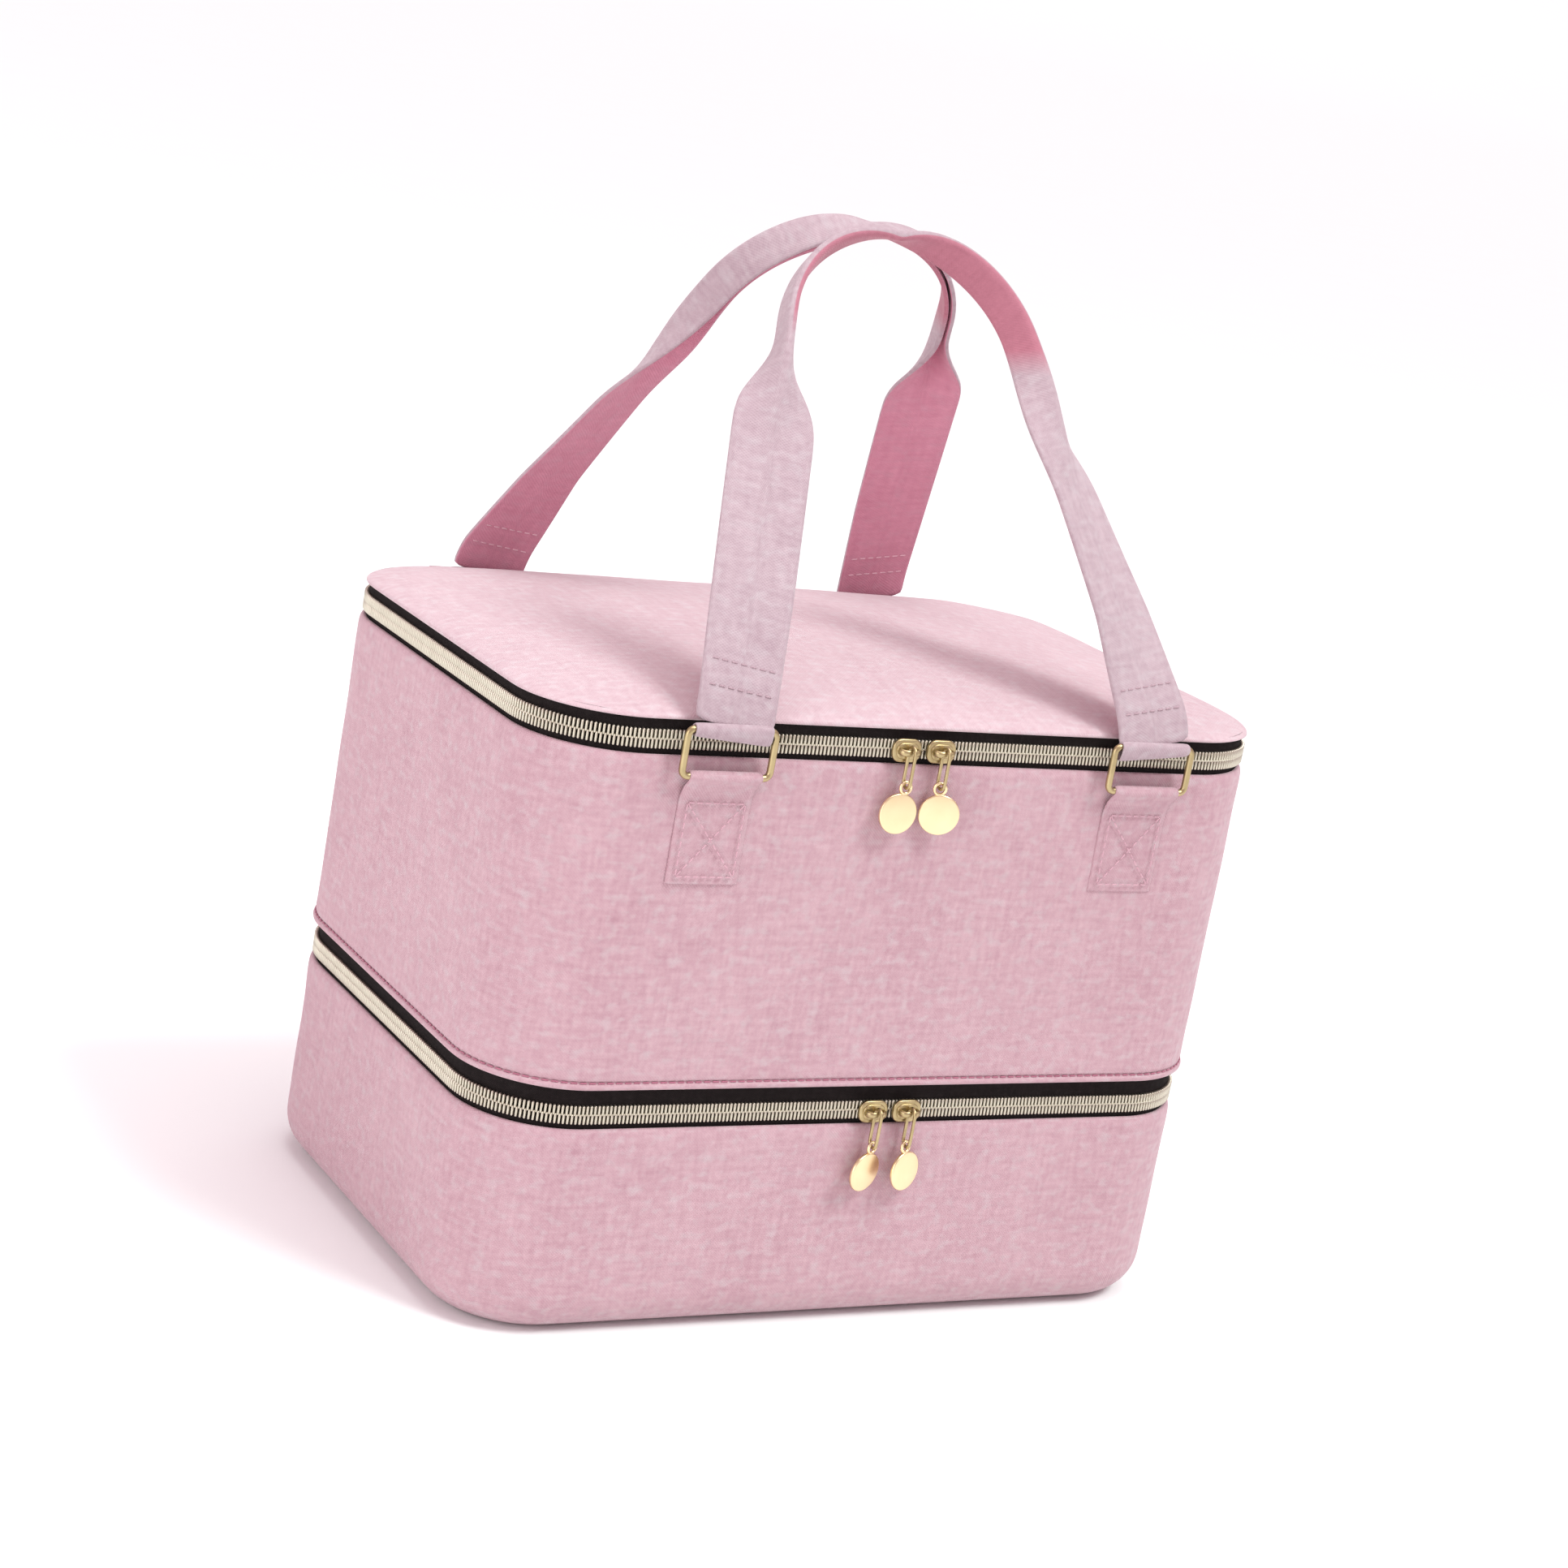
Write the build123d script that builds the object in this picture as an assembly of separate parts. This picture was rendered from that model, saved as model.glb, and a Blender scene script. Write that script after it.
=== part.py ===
from build123d import *
import os
import math

os.makedirs("parts", exist_ok=True)

# Overall size of the case body, in millimetres; the front faces -Y
case_length = 300.0
case_depth = 202.0
corner_radius = 38.0

# Heights of the tiers and of the zip strips between them
tray_height = 78.0
tray_zip_below = 5.0
tray_zip_above = 9.0
case_height = 119.6
lid_zip_below = 5.2
lid_zip_above = 6.6
lid_crown = 12.6

# Padded cloth walls, linings and boards
wall = 3.5
floor_pad = 4.0
board = 2.0
board_gap = 0.3
lining = 0.8
bottom_radius = 16.0
bottom_bands = 3
bottom_bevel = 9.0

# Lid: set-back of its edge, the rolled edge that rises to the crown and the hollow below
lid_inset = 0.5
lid_edge_roll = 7.0
lid_corner_min = 2.0
lid_corner_steps = 5
lid_pad = 5.0
lid_hollow_depth = 4.0
lid_hollow_slope = 70.0

# Zip tape and coil; each half stops short of the meeting line
tape = 1.0
tape_gap = 1.0
coil_inset = 0.7
coil_height = 2.8
coil_gap = 0.6
seam_deep = 6.0
seam_shallow = 2.0
coil_end_back = 7.0

# Cloth hinge along the rear: a piped roll that turns in a sleeve
roll_fit = 0.06
sleeve = 1.2
sleeve_clear = 0.74
sleeve_start = 165.0
sleeve_end = 300.0
hinge_end = 4.0
hinge_gap = 1.0

# Bottle grid: rows of cells along X and along Y
cell_count_x = 6
cell_count_y = 4
divider = 3.0
divider_height = 80.0
divider_fit = 0.1

# Strap tabs and wire rings
strap_width = 30.0
handle_x = 86.0
wire = 2.6
wire_sides = 12
ring_side_gap = 0.4
ring_rise = 16.4
ring_drop = 5.6
ring_fit = 0.06
ring_clear = 0.9
tab = 1.6
tab_length = 39.0

# Straps: an arch that leans over the lid, folded lengthwise for the grip
strap = 2.2
strap_tail = 1.4
tail_bed = 0.4
tail_inset = 0.3
sewn_length = 26.0
strap_stand = 12.0
leg_tilt = 15.0
arch_radius = 50.0
left_leg_turn = 10.0
right_leg_turn = 30.0
leg_steps = 8
top_steps = 8
fold_start_drop = 98.0
fold_stop_drop = 34.0
fold_angle = 88.0
fold_core = 0.2
handle_gap = 0.8

# Zip sliders and disc pulls
slider_length = 11.5
slider_plate = 1.8
slider_back = 1.4
slider_bevel = 2.4
slider_web = 0.6
slider_web_length = 4.0
slider_fit = 0.3
slider_clear = 0.8
slider_apart = 2.5
lid_slider_x = -8.0
tray_slider_x = 6.5
bail = 1.4
bail_span = 6.4
link_wire = 1.3
link_length = 10.0
link_play = 0.65
disc_diameter = 16.0
disc = 1.4
disc_neck = 1.5
eye_rim = 1.2
eye_play = 0.8
disc_apart = 0.8
lid_disc_turn = -20.0
tray_disc_turn = 20.0

# Heights from the floor up
tray_zip_z = tray_height + tray_zip_below
case_bottom_z = tray_zip_z + tray_zip_above
case_rim_z = case_bottom_z + case_height
lid_zip_z = case_rim_z + lid_zip_below
lid_edge_z = lid_zip_z + lid_zip_above
case_pad_z = case_bottom_z + floor_pad
case_floor_z = case_pad_z + board + lining
tray_floor_z = floor_pad + board + lining

# Places that follow from the sizes above
half_length = case_length / 2
half_depth = case_depth / 2
inner = wall + lining
tape_inset = wall - tape
hinge_y = half_depth - tape_inset - tape / 2
hinge_length = case_length - 2 * corner_radius - 2 * hinge_end
sleeve_out = min(tray_zip_below, lid_zip_below) - sleeve_clear
sleeve_in = sleeve_out - sleeve
roll_radius = sleeve_in - roll_fit
loop_in = wire / 2 + ring_fit
ring_y = half_depth + loop_in + max(strap, tab) + ring_clear
ring_bar_z = case_rim_z - ring_drop
ring_top_z = ring_bar_z + ring_rise


# Rounded rectangle of the case plan, drawn inset from the outer face
def plan(inset):
    return RectangleRounded(case_length - 2 * inset, case_depth - 2 * inset, corner_radius - inset)


# Prism on the plan between two heights
def prism(inset, low, high):
    return Pos(0, 0, low) * extrude(plan(inset), high - low)


# Closed band on the plan, between two insets and two heights
def band(inset, thickness, low, high):
    return Pos(0, 0, low) * extrude(plan(inset) - plan(inset + thickness), high - low)


# Prism with a bevelled lower edge
def tub(inset, low, high, bevel):
    solid = prism(inset, low, high)
    return chamfer(solid.faces().sort_by(Axis.Z)[0].edges(), bevel)


# Zip tape: the band stops where the cloth hinge begins
def zip_tape(low, high):
    open_width = hinge_length + 2 * hinge_gap
    away = Pos(0, half_depth, (low + high) / 2) * Box(open_width, half_depth, high - low)
    return band(tape_inset, tape, low, high) - away


# Zip coil: a bead on the outer face of the tape, ending on the rear corners
def zip_coil(low, high):
    bead = band(coil_inset, tape_inset - coil_inset, low, high)
    away = Pos(0, half_depth, (low + high) / 2) * Box(case_length, 2 * coil_end_back, high - low)
    return bead - away


# Seams that hold the tape: deep in an upper rim, shallow in a lower edge
def rim_seam(rim_z):
    return band(tape_inset, tape, rim_z - seam_deep, rim_z)


def edge_seam(edge_z):
    return band(tape_inset, tape, edge_z, edge_z + seam_shallow)


# Profile drawn in the YZ plane and extruded along X, centred on x
def along_x(profile, x, width):
    return Pos(x - width / 2, 0, 0) * extrude(Plane.YZ * profile, width)


# Lower tray: rounded outside in sloping bands, bevelled inside, with a board under the lining
tray_shell = prism(0, bottom_radius, tray_height)
for i in range(bottom_bands):
    low = math.pi / 2 * (i + 1) / bottom_bands
    high = math.pi / 2 * i / bottom_bands
    set_in = bottom_radius * (math.cos(high) - math.cos(low))
    drop = bottom_radius * (math.sin(low) - math.sin(high))
    start = Pos(0, 0, bottom_radius * (1 - math.sin(high))) * plan(bottom_radius * (1 - math.cos(high)))
    slope = math.degrees(math.atan2(set_in, drop))
    tray_shell += extrude(start, drop, dir=(0, 0, -1), taper=slope)
tray_shell -= tub(wall, floor_pad, tray_height, bottom_bevel)
tray_shell -= rim_seam(tray_height)
tray_lining = tub(wall, floor_pad + board, tray_height, bottom_bevel - board)
tray_lining -= tub(inner, tray_floor_z, tray_height, bottom_bevel - board)
tray_board = prism(wall + bottom_bevel, floor_pad, floor_pad + board)

# Upper case
case_shell = prism(0, case_bottom_z, case_rim_z) - prism(wall, case_pad_z, case_rim_z)
case_shell -= rim_seam(case_rim_z)
case_shell -= edge_seam(case_bottom_z)
case_board = prism(wall + board_gap, case_pad_z, case_pad_z + board)
case_lining = prism(wall, case_pad_z + board, case_rim_z) - prism(inner, case_floor_z, case_rim_z)

# Bottle dividers, halved into each other
room_x = case_length - 2 * inner
room_y = case_depth - 2 * inner
slot = divider + 2 * divider_fit
slot_cut = Box(slot, slot, divider_height)
mid_z = case_floor_z + divider_height / 2
long_at = [(i / cell_count_y - 0.5) * room_y for i in range(1, cell_count_y)]
cross_at = [(i / cell_count_x - 0.5) * room_x for i in range(1, cell_count_x)]
long_one = Pos(0, 0, mid_z) * Box(room_x - 2 * divider_fit, divider, divider_height)
long_one -= [Pos(x, 0, mid_z + divider_height / 2) * slot_cut for x in cross_at]
cross_one = Pos(0, 0, mid_z) * Box(divider, room_y - 2 * divider_fit, divider_height)
cross_one -= [Pos(0, y, mid_z - divider_height / 2) * slot_cut for y in long_at]
long_dividers = [Pos(0, y, 0) * long_one for y in long_at]
cross_dividers = [Pos(x, 0, 0) * cross_one for x in cross_at]

# Solid through a row of sections, skinned with flat triangles
def skinned(sections):
    faces = [Face(Wire.make_polygon(sections[0])), Face(Wire.make_polygon(sections[-1]))]
    for low, high in zip(sections, sections[1:]):
        for k in range(len(low)):
            faces.append(Face(Wire.make_polygon([low[k - 1], low[k], high[k]])))
            faces.append(Face(Wire.make_polygon([low[k - 1], high[k], high[k - 1]])))
    return Solid(Shell(faces))


# Points round the lid at an inset from its edge and a rise over it, corners in equal chords
def lid_section(inset, rise):
    half_x = half_length - lid_inset - inset
    half_y = half_depth - lid_inset - inset
    radius = max(corner_radius - lid_inset - inset, min(lid_corner_radius, half_y - lid_corner_min))
    points = []
    for side_x, side_y, start in ((1, 1, 0), (-1, 1, 1), (-1, -1, 2), (1, -1, 3)):
        for i in range(lid_corner_steps + 1):
            angle = math.pi / 2 * (start + i / lid_corner_steps)
            x = side_x * (half_x - radius) + radius * math.cos(angle)
            y = side_y * (half_y - radius) + radius * math.sin(angle)
            points.append(Vector(x, y, lid_edge_z + rise))
    return points


# Lid: a rolled edge, as shares of roll and crown, then a crown, as shares of half depth and crown
lid_corner_radius = corner_radius - lid_inset - lid_edge_roll
edge_shares = [(0.0, 0.0), (0.12, 0.24), (0.45, 0.4), (1.0, 0.53)]
crown_shares = [(0.16, 0.75), (0.4, 0.94), (0.66, 1.0)]
lid_rings = [lid_section(share * lid_edge_roll, level * lid_crown) for share, level in edge_shares]
lid_rings += [lid_section(lid_edge_roll + share * half_depth, level * lid_crown) for share, level in crown_shares]
lid_panel = skinned(lid_rings)


# Shallow hollow under the lid with sloping sides
def lid_hollow(inset, depth):
    top_inset = inset + depth * math.tan(math.radians(lid_hollow_slope))
    return skinned([lid_section(inset, 0), lid_section(top_inset, depth)])


lid_panel -= lid_hollow(lid_pad, lid_hollow_depth)
lid_panel -= edge_seam(lid_edge_z)
lid_lining = lid_hollow(lid_pad, lid_hollow_depth) - lid_hollow(lid_pad + lining, lid_hollow_depth - lining)

# Zip tapes and coils, both halves of both zips
tray_tape_lower = zip_tape(tray_height - seam_deep, tray_zip_z - tape_gap)
tray_tape_upper = zip_tape(tray_zip_z + tape_gap, case_bottom_z + seam_shallow)
tray_coil_lower = zip_coil(tray_zip_z - coil_gap - coil_height, tray_zip_z - coil_gap)
tray_coil_upper = zip_coil(tray_zip_z + coil_gap, tray_zip_z + coil_gap + coil_height)
lid_tape_lower = zip_tape(case_rim_z - seam_deep, lid_zip_z - tape_gap)
lid_tape_upper = zip_tape(lid_zip_z + tape_gap, lid_edge_z + seam_shallow)
lid_coil_lower = zip_coil(lid_zip_z - coil_gap - coil_height, lid_zip_z - coil_gap)
lid_coil_upper = zip_coil(lid_zip_z + coil_gap, lid_zip_z + coil_gap + coil_height)


# Hinge roll with its web, sewn into the lower edge of the piece that opens
def hinge_roll(axis_z, edge_z):
    top = edge_z + seam_shallow
    web = Pos(hinge_y, (axis_z + top) / 2) * Rectangle(tape, top - axis_z)
    return along_x(Pos(hinge_y, axis_z) * Circle(roll_radius) + web, 0, hinge_length)


# Hinge sleeve round the lower inside of the roll, sewn into the rim below it
def hinge_sleeve(axis_z, rim_z):
    angles = [sleeve_start, (sleeve_start + sleeve_end) / 2, sleeve_end]
    reach = 2 * sleeve_out / math.cos(math.radians(sleeve_end - sleeve_start) / 4)
    rays = [(math.cos(math.radians(t)) * reach, math.sin(math.radians(t)) * reach) for t in angles]
    wedge = make_face(Polyline((0, 0), *rays, close=True))
    tube = Pos(hinge_y, axis_z) * ((Circle(sleeve_out) - Circle(sleeve_in)) & wedge)
    low = rim_z - seam_deep
    high = axis_z - (sleeve_in + sleeve_out) / 2
    strip = Pos(hinge_y, (low + high) / 2) * Rectangle(tape, high - low)
    return along_x(tube + strip, 0, hinge_length)


tray_sleeve = hinge_sleeve(tray_zip_z, tray_height)
case_roll = hinge_roll(tray_zip_z, case_bottom_z)
lid_sleeve = hinge_sleeve(lid_zip_z, case_rim_z)
lid_roll = hinge_roll(lid_zip_z, lid_edge_z)

# Strap tab: sewn flat on the wall, looped round the lower ring bar
tab_low = ring_bar_z - tab_length
tab_bar = Pos(-ring_y, ring_bar_z)
tab_plate = Pos(-half_depth - tab / 2, (tab_low + ring_bar_z) / 2) * Rectangle(tab, tab_length)
tab_neck_depth = ring_y - half_depth
tab_neck_z = ring_bar_z - loop_in - tab / 2
tab_neck = Pos(-half_depth - tab_neck_depth / 2, tab_neck_z) * Rectangle(tab_neck_depth, tab)
tab_profile = tab_plate + tab_neck + tab_bar * RegularPolygon(loop_in + tab, wire_sides)
tab_profile -= tab_bar * Circle(loop_in)
front_left_tab = along_x(tab_profile, -handle_x, strap_width)
front_right_tab = along_x(tab_profile, handle_x, strap_width)
rear_right_tab = front_left_tab.rotate(Axis.Z, 180)
rear_left_tab = front_right_tab.rotate(Axis.Z, 180)


# Rectangular wire ring with mitred corners, standing in front of the wall
def ring(x):
    half_u = ring_side_gap + (strap_width + wire) / 2
    half_v = ring_rise / 2
    corners = [(0, half_v), (-half_u, half_v), (-half_u, -half_v), (half_u, -half_v), (half_u, half_v)]
    middle = Plane(origin=(x, -ring_y, ring_bar_z + half_v), x_dir=(1, 0, 0), z_dir=(0, -1, 0))
    rail = Polyline(*[middle.from_local_coords(c) for c in corners], close=True)
    start = Plane(origin=middle.from_local_coords(corners[0]), z_dir=(-1, 0, 0))
    section = start * RegularPolygon(wire / 2, wire_sides)
    return sweep(section, path=rail, transition=Transition.RIGHT)


front_left_ring = ring(-handle_x)
front_right_ring = ring(handle_x)
rear_right_ring = front_left_ring.rotate(Axis.Z, 180)
rear_left_ring = front_right_ring.rotate(Axis.Z, 180)

# Strap arch, laid out flat: an upright stub, a tilted leg and a round top
tilt = math.radians(leg_tilt)
fold_spine = strap + fold_core
fold_panel = strap_width / 2 - fold_spine
leg = (handle_x - arch_radius * math.cos(tilt)) / math.sin(tilt)
arch_height = strap_stand + leg * math.cos(tilt) + arch_radius * (1 - math.sin(tilt))

# The arch leans until the folded grips of both straps meet over the middle
grip_inner = fold_panel / 2 - strap / 2
lean = math.asin((ring_y - grip_inner - handle_gap / 2) / (arch_height - strap_stand))


# Plane across the front strap at a place on the flat arch
def strap_plane(x, rise, heading, bend):
    past = max(rise - strap_stand, 0.0)
    up = Vector(0, math.sin(bend), math.cos(bend))
    outward = Vector(0, -math.cos(bend), math.sin(bend))
    along = Vector(1, 0, 0) * math.sin(heading) + up * math.cos(heading)
    climb = min(past / (leg * math.cos(tilt)), 1.0)
    top = max(1 - abs(math.cos(heading)) / math.cos(tilt), 0.0) ** 2
    leg_turn = left_leg_turn if heading < math.pi / 2 else right_leg_turn
    turn = math.radians(leg_turn) * climb * (2 - climb) * (1 - top) - bend * top
    face = outward * math.cos(turn) + outward.cross(along) * math.sin(turn)
    y = past * math.sin(lean) - ring_y
    z = ring_top_z + min(rise, strap_stand) + past * math.cos(lean)
    return Plane(origin=(x, y, z), x_dir=face.cross(along), z_dir=along)


# Strap section: flat near the rings, a folded double layer on top
def strap_section(x, rise, heading, bend):
    share = (rise - arch_height + fold_start_drop) / (fold_start_drop - fold_stop_drop)
    share = min(max(share, 0.0), 1.0)
    fold = math.radians(fold_angle) * share * share * (3 - 2 * share)
    lift = fold_panel / 2 * math.sin(fold) + strap / 2
    tip_u = fold_spine + fold_panel * math.cos(fold)
    tip_v = lift - fold_panel * math.sin(fold)
    half = [
        (fold_spine, lift),
        (tip_u, tip_v),
        (tip_u - strap * math.sin(fold), tip_v - strap * math.cos(fold)),
        (fold_spine - strap * math.tan(fold / 2), lift - strap),
    ]
    outline = half + [(-u, v) for u, v in reversed(half)]
    plane = strap_plane(x, rise, heading, bend)
    return [plane.from_local_coords(p) for p in outline]


# Section of the sewn tail, bedded in the inner face of the strap end
def tail_section(x, rise, heading, bend):
    plane = strap_plane(x, rise, heading, bend)
    half = strap_width / 2 - tail_inset
    deep = -strap / 2 - strap_tail
    outline = [(half, tail_bed - strap / 2), (half, deep), (-half, deep), (-half, tail_bed - strap / 2)]
    return [plane.from_local_coords(p) for p in outline]


# Stations from the left ring to the top: sideways place, rise, heading and lean
stations = [(-handle_x, loop_in + strap / 2, 0.0, 0.0), (-handle_x, strap_stand, tilt / 2, lean / 2)]
for i in range(1, leg_steps):
    gone = leg * i / leg_steps
    x = gone * math.sin(tilt) - handle_x
    stations.append((x, strap_stand + gone * math.cos(tilt), tilt, lean))
for i in range(top_steps + 1):
    heading = tilt + (math.pi / 2 - tilt) * i / top_steps
    rise = arch_height - arch_radius * (1 - math.sin(heading))
    stations.append((-arch_radius * math.cos(heading), rise, heading, lean))
right_half = [(-x, rise, math.pi - heading, bend) for x, rise, heading, bend in reversed(stations[:-1])]
sewn_past = sewn_length - strap_stand
sewn_x = sewn_past * math.sin(tilt) - handle_x
sewn_end = (sewn_x, strap_stand + sewn_past * math.cos(tilt), tilt, lean)
left_tail = skinned([tail_section(*s) for s in stations[:2] + [sewn_end]])
wrap = Pos(-ring_y, ring_top_z) * (RegularPolygon(loop_in + strap, wire_sides) - Circle(loop_in))
front_strap = skinned([strap_section(*s) for s in stations + right_half])
front_strap += left_tail
front_strap += left_tail.mirror(Plane.YZ)
front_strap += along_x(wrap, -handle_x, strap_width)
front_strap += along_x(wrap, handle_x, strap_width)
rear_strap = front_strap.rotate(Axis.Z, 180)

# Zip sliders straddle the coils; links and discs hang from the bails
slider_height = 2 * (min(tray_zip_below, lid_zip_below) - slider_clear)
slider_front_y = coil_inset - slider_fit - half_depth
slider_rear_y = tape_inset + tape + slider_fit - half_depth
slider_face_y = slider_front_y - slider_plate
most_turn = math.radians(max(abs(lid_disc_turn), abs(tray_disc_turn)))
turned_disc = disc / math.cos(most_turn) + link_wire * math.tan(most_turn)
link_turn = max(bail, turned_disc) / 2 + link_play + link_wire / 2
bail_y = slider_face_y - slider_fit - link_turn - link_wire / 2
disc_hole = link_wire + 2 * eye_play
disc_eye = disc_hole + 2 * eye_rim
disc_drop = disc_diameter / 2 + disc_neck
slider_spacing = slider_length + slider_apart
disc_reach = max(disc_diameter + disc_apart - slider_spacing, 0.0) / 2
disc_splay = math.degrees(math.asin(disc_reach / disc_drop))


# Slider: front and rear plate, a web between the coils and a bail in front
def slider(x, z):
    front = Pos(x, slider_front_y - slider_plate / 2, z) * Box(slider_length, slider_plate, slider_height)
    front = chamfer(front.edges().filter_by(Axis.Y), slider_bevel)
    rear = Pos(x, slider_rear_y + slider_back / 2, z) * Box(slider_length, slider_back, slider_height)
    rear = chamfer(rear.edges().filter_by(Axis.Y), slider_bevel)
    web_depth = slider_rear_y - slider_front_y
    web = Pos(x, slider_front_y + web_depth / 2, z) * Box(slider_web_length, web_depth, slider_web)
    bar = Pos(x, bail_y, z) * Rot(0, 90, 0) * Cylinder(bail / 2, bail_span)
    foot_depth = slider_face_y - bail_y + bail / 2
    foot = Box(bail, foot_depth, bail)
    feet = [Pos(x + s * bail_span / 2, slider_face_y - foot_depth / 2, z) * foot for s in (-1, 1)]
    return front + rear + web + bar + feet


# Oval round both ends of the link
def link_oval(end):
    return make_hull([e for s in (-1, 1) for e in (Pos(s * link_length / 2, 0) * end).edges()])


# Oval link round the bail, square in section
def pull_link(x, z):
    outer = link_oval(RegularPolygon(link_turn + link_wire / 2, wire_sides))
    hole = link_oval(RegularPolygon(link_turn - link_wire / 2, wire_sides, major_radius=False))
    middle = Plane(origin=(x, bail_y, z - link_length / 2), x_dir=(0, 0, 1), z_dir=(1, 0, 0))
    return extrude(middle * (outer - hole), link_wire / 2, both=True)


# Disc with an eye, hung on the lower end of the link, turned and leaning off its neighbour
def pull_disc(x, z, side, turn):
    shape = Pos(0, -disc_drop) * Circle(disc_diameter / 2) + RegularPolygon(disc_eye / 2, wire_sides)
    solid = Rot(0, 0, turn) * extrude(Plane.XZ * shape, disc / 2, both=True)
    solid -= Rot(90, 0, 0) * Cylinder(disc_hole / 2, disc_eye)
    hang = Pos(x, bail_y, z - link_length - link_turn)
    return hang * Rot(0, -side * disc_splay, 0) * solid


# One STEP file for each named piece
pieces = {
    "tray_shell": tray_shell,
    "tray_lining": tray_lining,
    "tray_board": tray_board,
    "tray_zip_tape_lower": tray_tape_lower,
    "tray_zip_coil_lower": tray_coil_lower,
    "tray_hinge_sleeve": tray_sleeve,
    "case_shell": case_shell,
    "case_lining": case_lining,
    "case_board": case_board,
    "long_dividers": Compound(children=long_dividers),
    "cross_dividers": Compound(children=cross_dividers),
    "tray_zip_tape_upper": tray_tape_upper,
    "tray_zip_coil_upper": tray_coil_upper,
    "case_hinge_roll": case_roll,
    "lid_zip_tape_lower": lid_tape_lower,
    "lid_zip_coil_lower": lid_coil_lower,
    "lid_hinge_sleeve": lid_sleeve,
    "front_left_tab": front_left_tab,
    "front_right_tab": front_right_tab,
    "rear_left_tab": rear_left_tab,
    "rear_right_tab": rear_right_tab,
    "lid_panel": lid_panel,
    "lid_lining": lid_lining,
    "lid_zip_tape_upper": lid_tape_upper,
    "lid_zip_coil_upper": lid_coil_upper,
    "lid_hinge_roll": lid_roll,
    "front_left_ring": front_left_ring,
    "front_right_ring": front_right_ring,
    "rear_left_ring": rear_left_ring,
    "rear_right_ring": rear_right_ring,
    "front_strap": front_strap,
    "rear_strap": rear_strap,
}
for tier, centre, z in (("lid", lid_slider_x, lid_zip_z), ("tray", tray_slider_x, tray_zip_z)):
    left_turn = 0.0 if tier == "lid" else tray_disc_turn
    right_turn = lid_disc_turn if tier == "lid" else tray_disc_turn
    for hand, side, turn in (("left", -1, left_turn), ("right", 1, right_turn)):
        x = centre + side * slider_spacing / 2
        pieces[f"{tier}_slider_{hand}"] = slider(x, z)
        pieces[f"{tier}_link_{hand}"] = pull_link(x, z)
        pieces[f"{tier}_disc_{hand}"] = pull_disc(x, z, side, turn)
for name, solid in pieces.items():
    export_step(solid, f"parts/{name}.step")
print("hinge y", hinge_y, "tray axis z", tray_zip_z, "lid axis z", lid_zip_z)
print("ring y", ring_y, "ring bar z", ring_bar_z, "ring top z", ring_top_z)
print("bail y", bail_y, "link drop", link_length + link_turn, "disc splay", disc_splay)
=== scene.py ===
# %% [markdown]
# # A two-tier polish case in pink canvas
# The case is soft goods: padded canvas walls, a crowned lid, two zips, webbing handles and light gold
# fittings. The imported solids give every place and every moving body. This lesson dresses them piece by
# piece, so each step says what the real piece is and which mesh tool suits it.

import math

import bmesh
import bpy
from mathutils import Matrix, Vector, noise
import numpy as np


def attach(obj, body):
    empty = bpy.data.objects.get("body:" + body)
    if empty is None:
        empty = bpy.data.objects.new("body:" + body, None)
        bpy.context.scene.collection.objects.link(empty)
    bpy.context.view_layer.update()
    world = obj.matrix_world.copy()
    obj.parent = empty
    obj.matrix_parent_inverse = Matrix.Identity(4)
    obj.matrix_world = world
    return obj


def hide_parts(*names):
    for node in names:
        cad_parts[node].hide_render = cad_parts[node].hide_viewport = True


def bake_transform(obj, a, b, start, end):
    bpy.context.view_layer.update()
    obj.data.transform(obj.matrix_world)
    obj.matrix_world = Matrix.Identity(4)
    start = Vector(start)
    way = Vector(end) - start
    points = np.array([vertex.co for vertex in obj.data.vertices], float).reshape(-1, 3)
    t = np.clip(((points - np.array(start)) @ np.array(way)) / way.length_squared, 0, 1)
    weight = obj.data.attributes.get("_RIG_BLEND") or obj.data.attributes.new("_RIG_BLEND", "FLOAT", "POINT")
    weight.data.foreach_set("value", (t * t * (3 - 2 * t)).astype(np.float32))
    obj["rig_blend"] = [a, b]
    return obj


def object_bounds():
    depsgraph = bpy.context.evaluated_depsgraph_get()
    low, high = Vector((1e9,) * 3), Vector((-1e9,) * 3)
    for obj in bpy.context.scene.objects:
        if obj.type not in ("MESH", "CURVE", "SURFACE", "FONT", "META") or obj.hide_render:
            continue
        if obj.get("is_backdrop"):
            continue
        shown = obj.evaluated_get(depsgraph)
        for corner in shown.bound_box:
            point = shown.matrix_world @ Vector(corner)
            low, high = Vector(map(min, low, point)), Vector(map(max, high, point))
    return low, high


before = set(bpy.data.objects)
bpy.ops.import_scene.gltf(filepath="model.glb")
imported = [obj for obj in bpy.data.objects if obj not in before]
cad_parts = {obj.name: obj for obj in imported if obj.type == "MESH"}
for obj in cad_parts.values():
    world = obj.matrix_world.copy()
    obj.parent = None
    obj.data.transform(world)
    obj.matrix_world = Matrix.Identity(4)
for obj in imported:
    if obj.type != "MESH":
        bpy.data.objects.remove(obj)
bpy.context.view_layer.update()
mm = 0.001

# %% [markdown]
# ## Camera
# The picture was taken from the front left and a little above, with the camera rolled about ten degrees.
# A camera needs its place, the way it looks and its roll. The three axes of its matrix say all of that at
# once, so no tracking constraint is needed.

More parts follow.
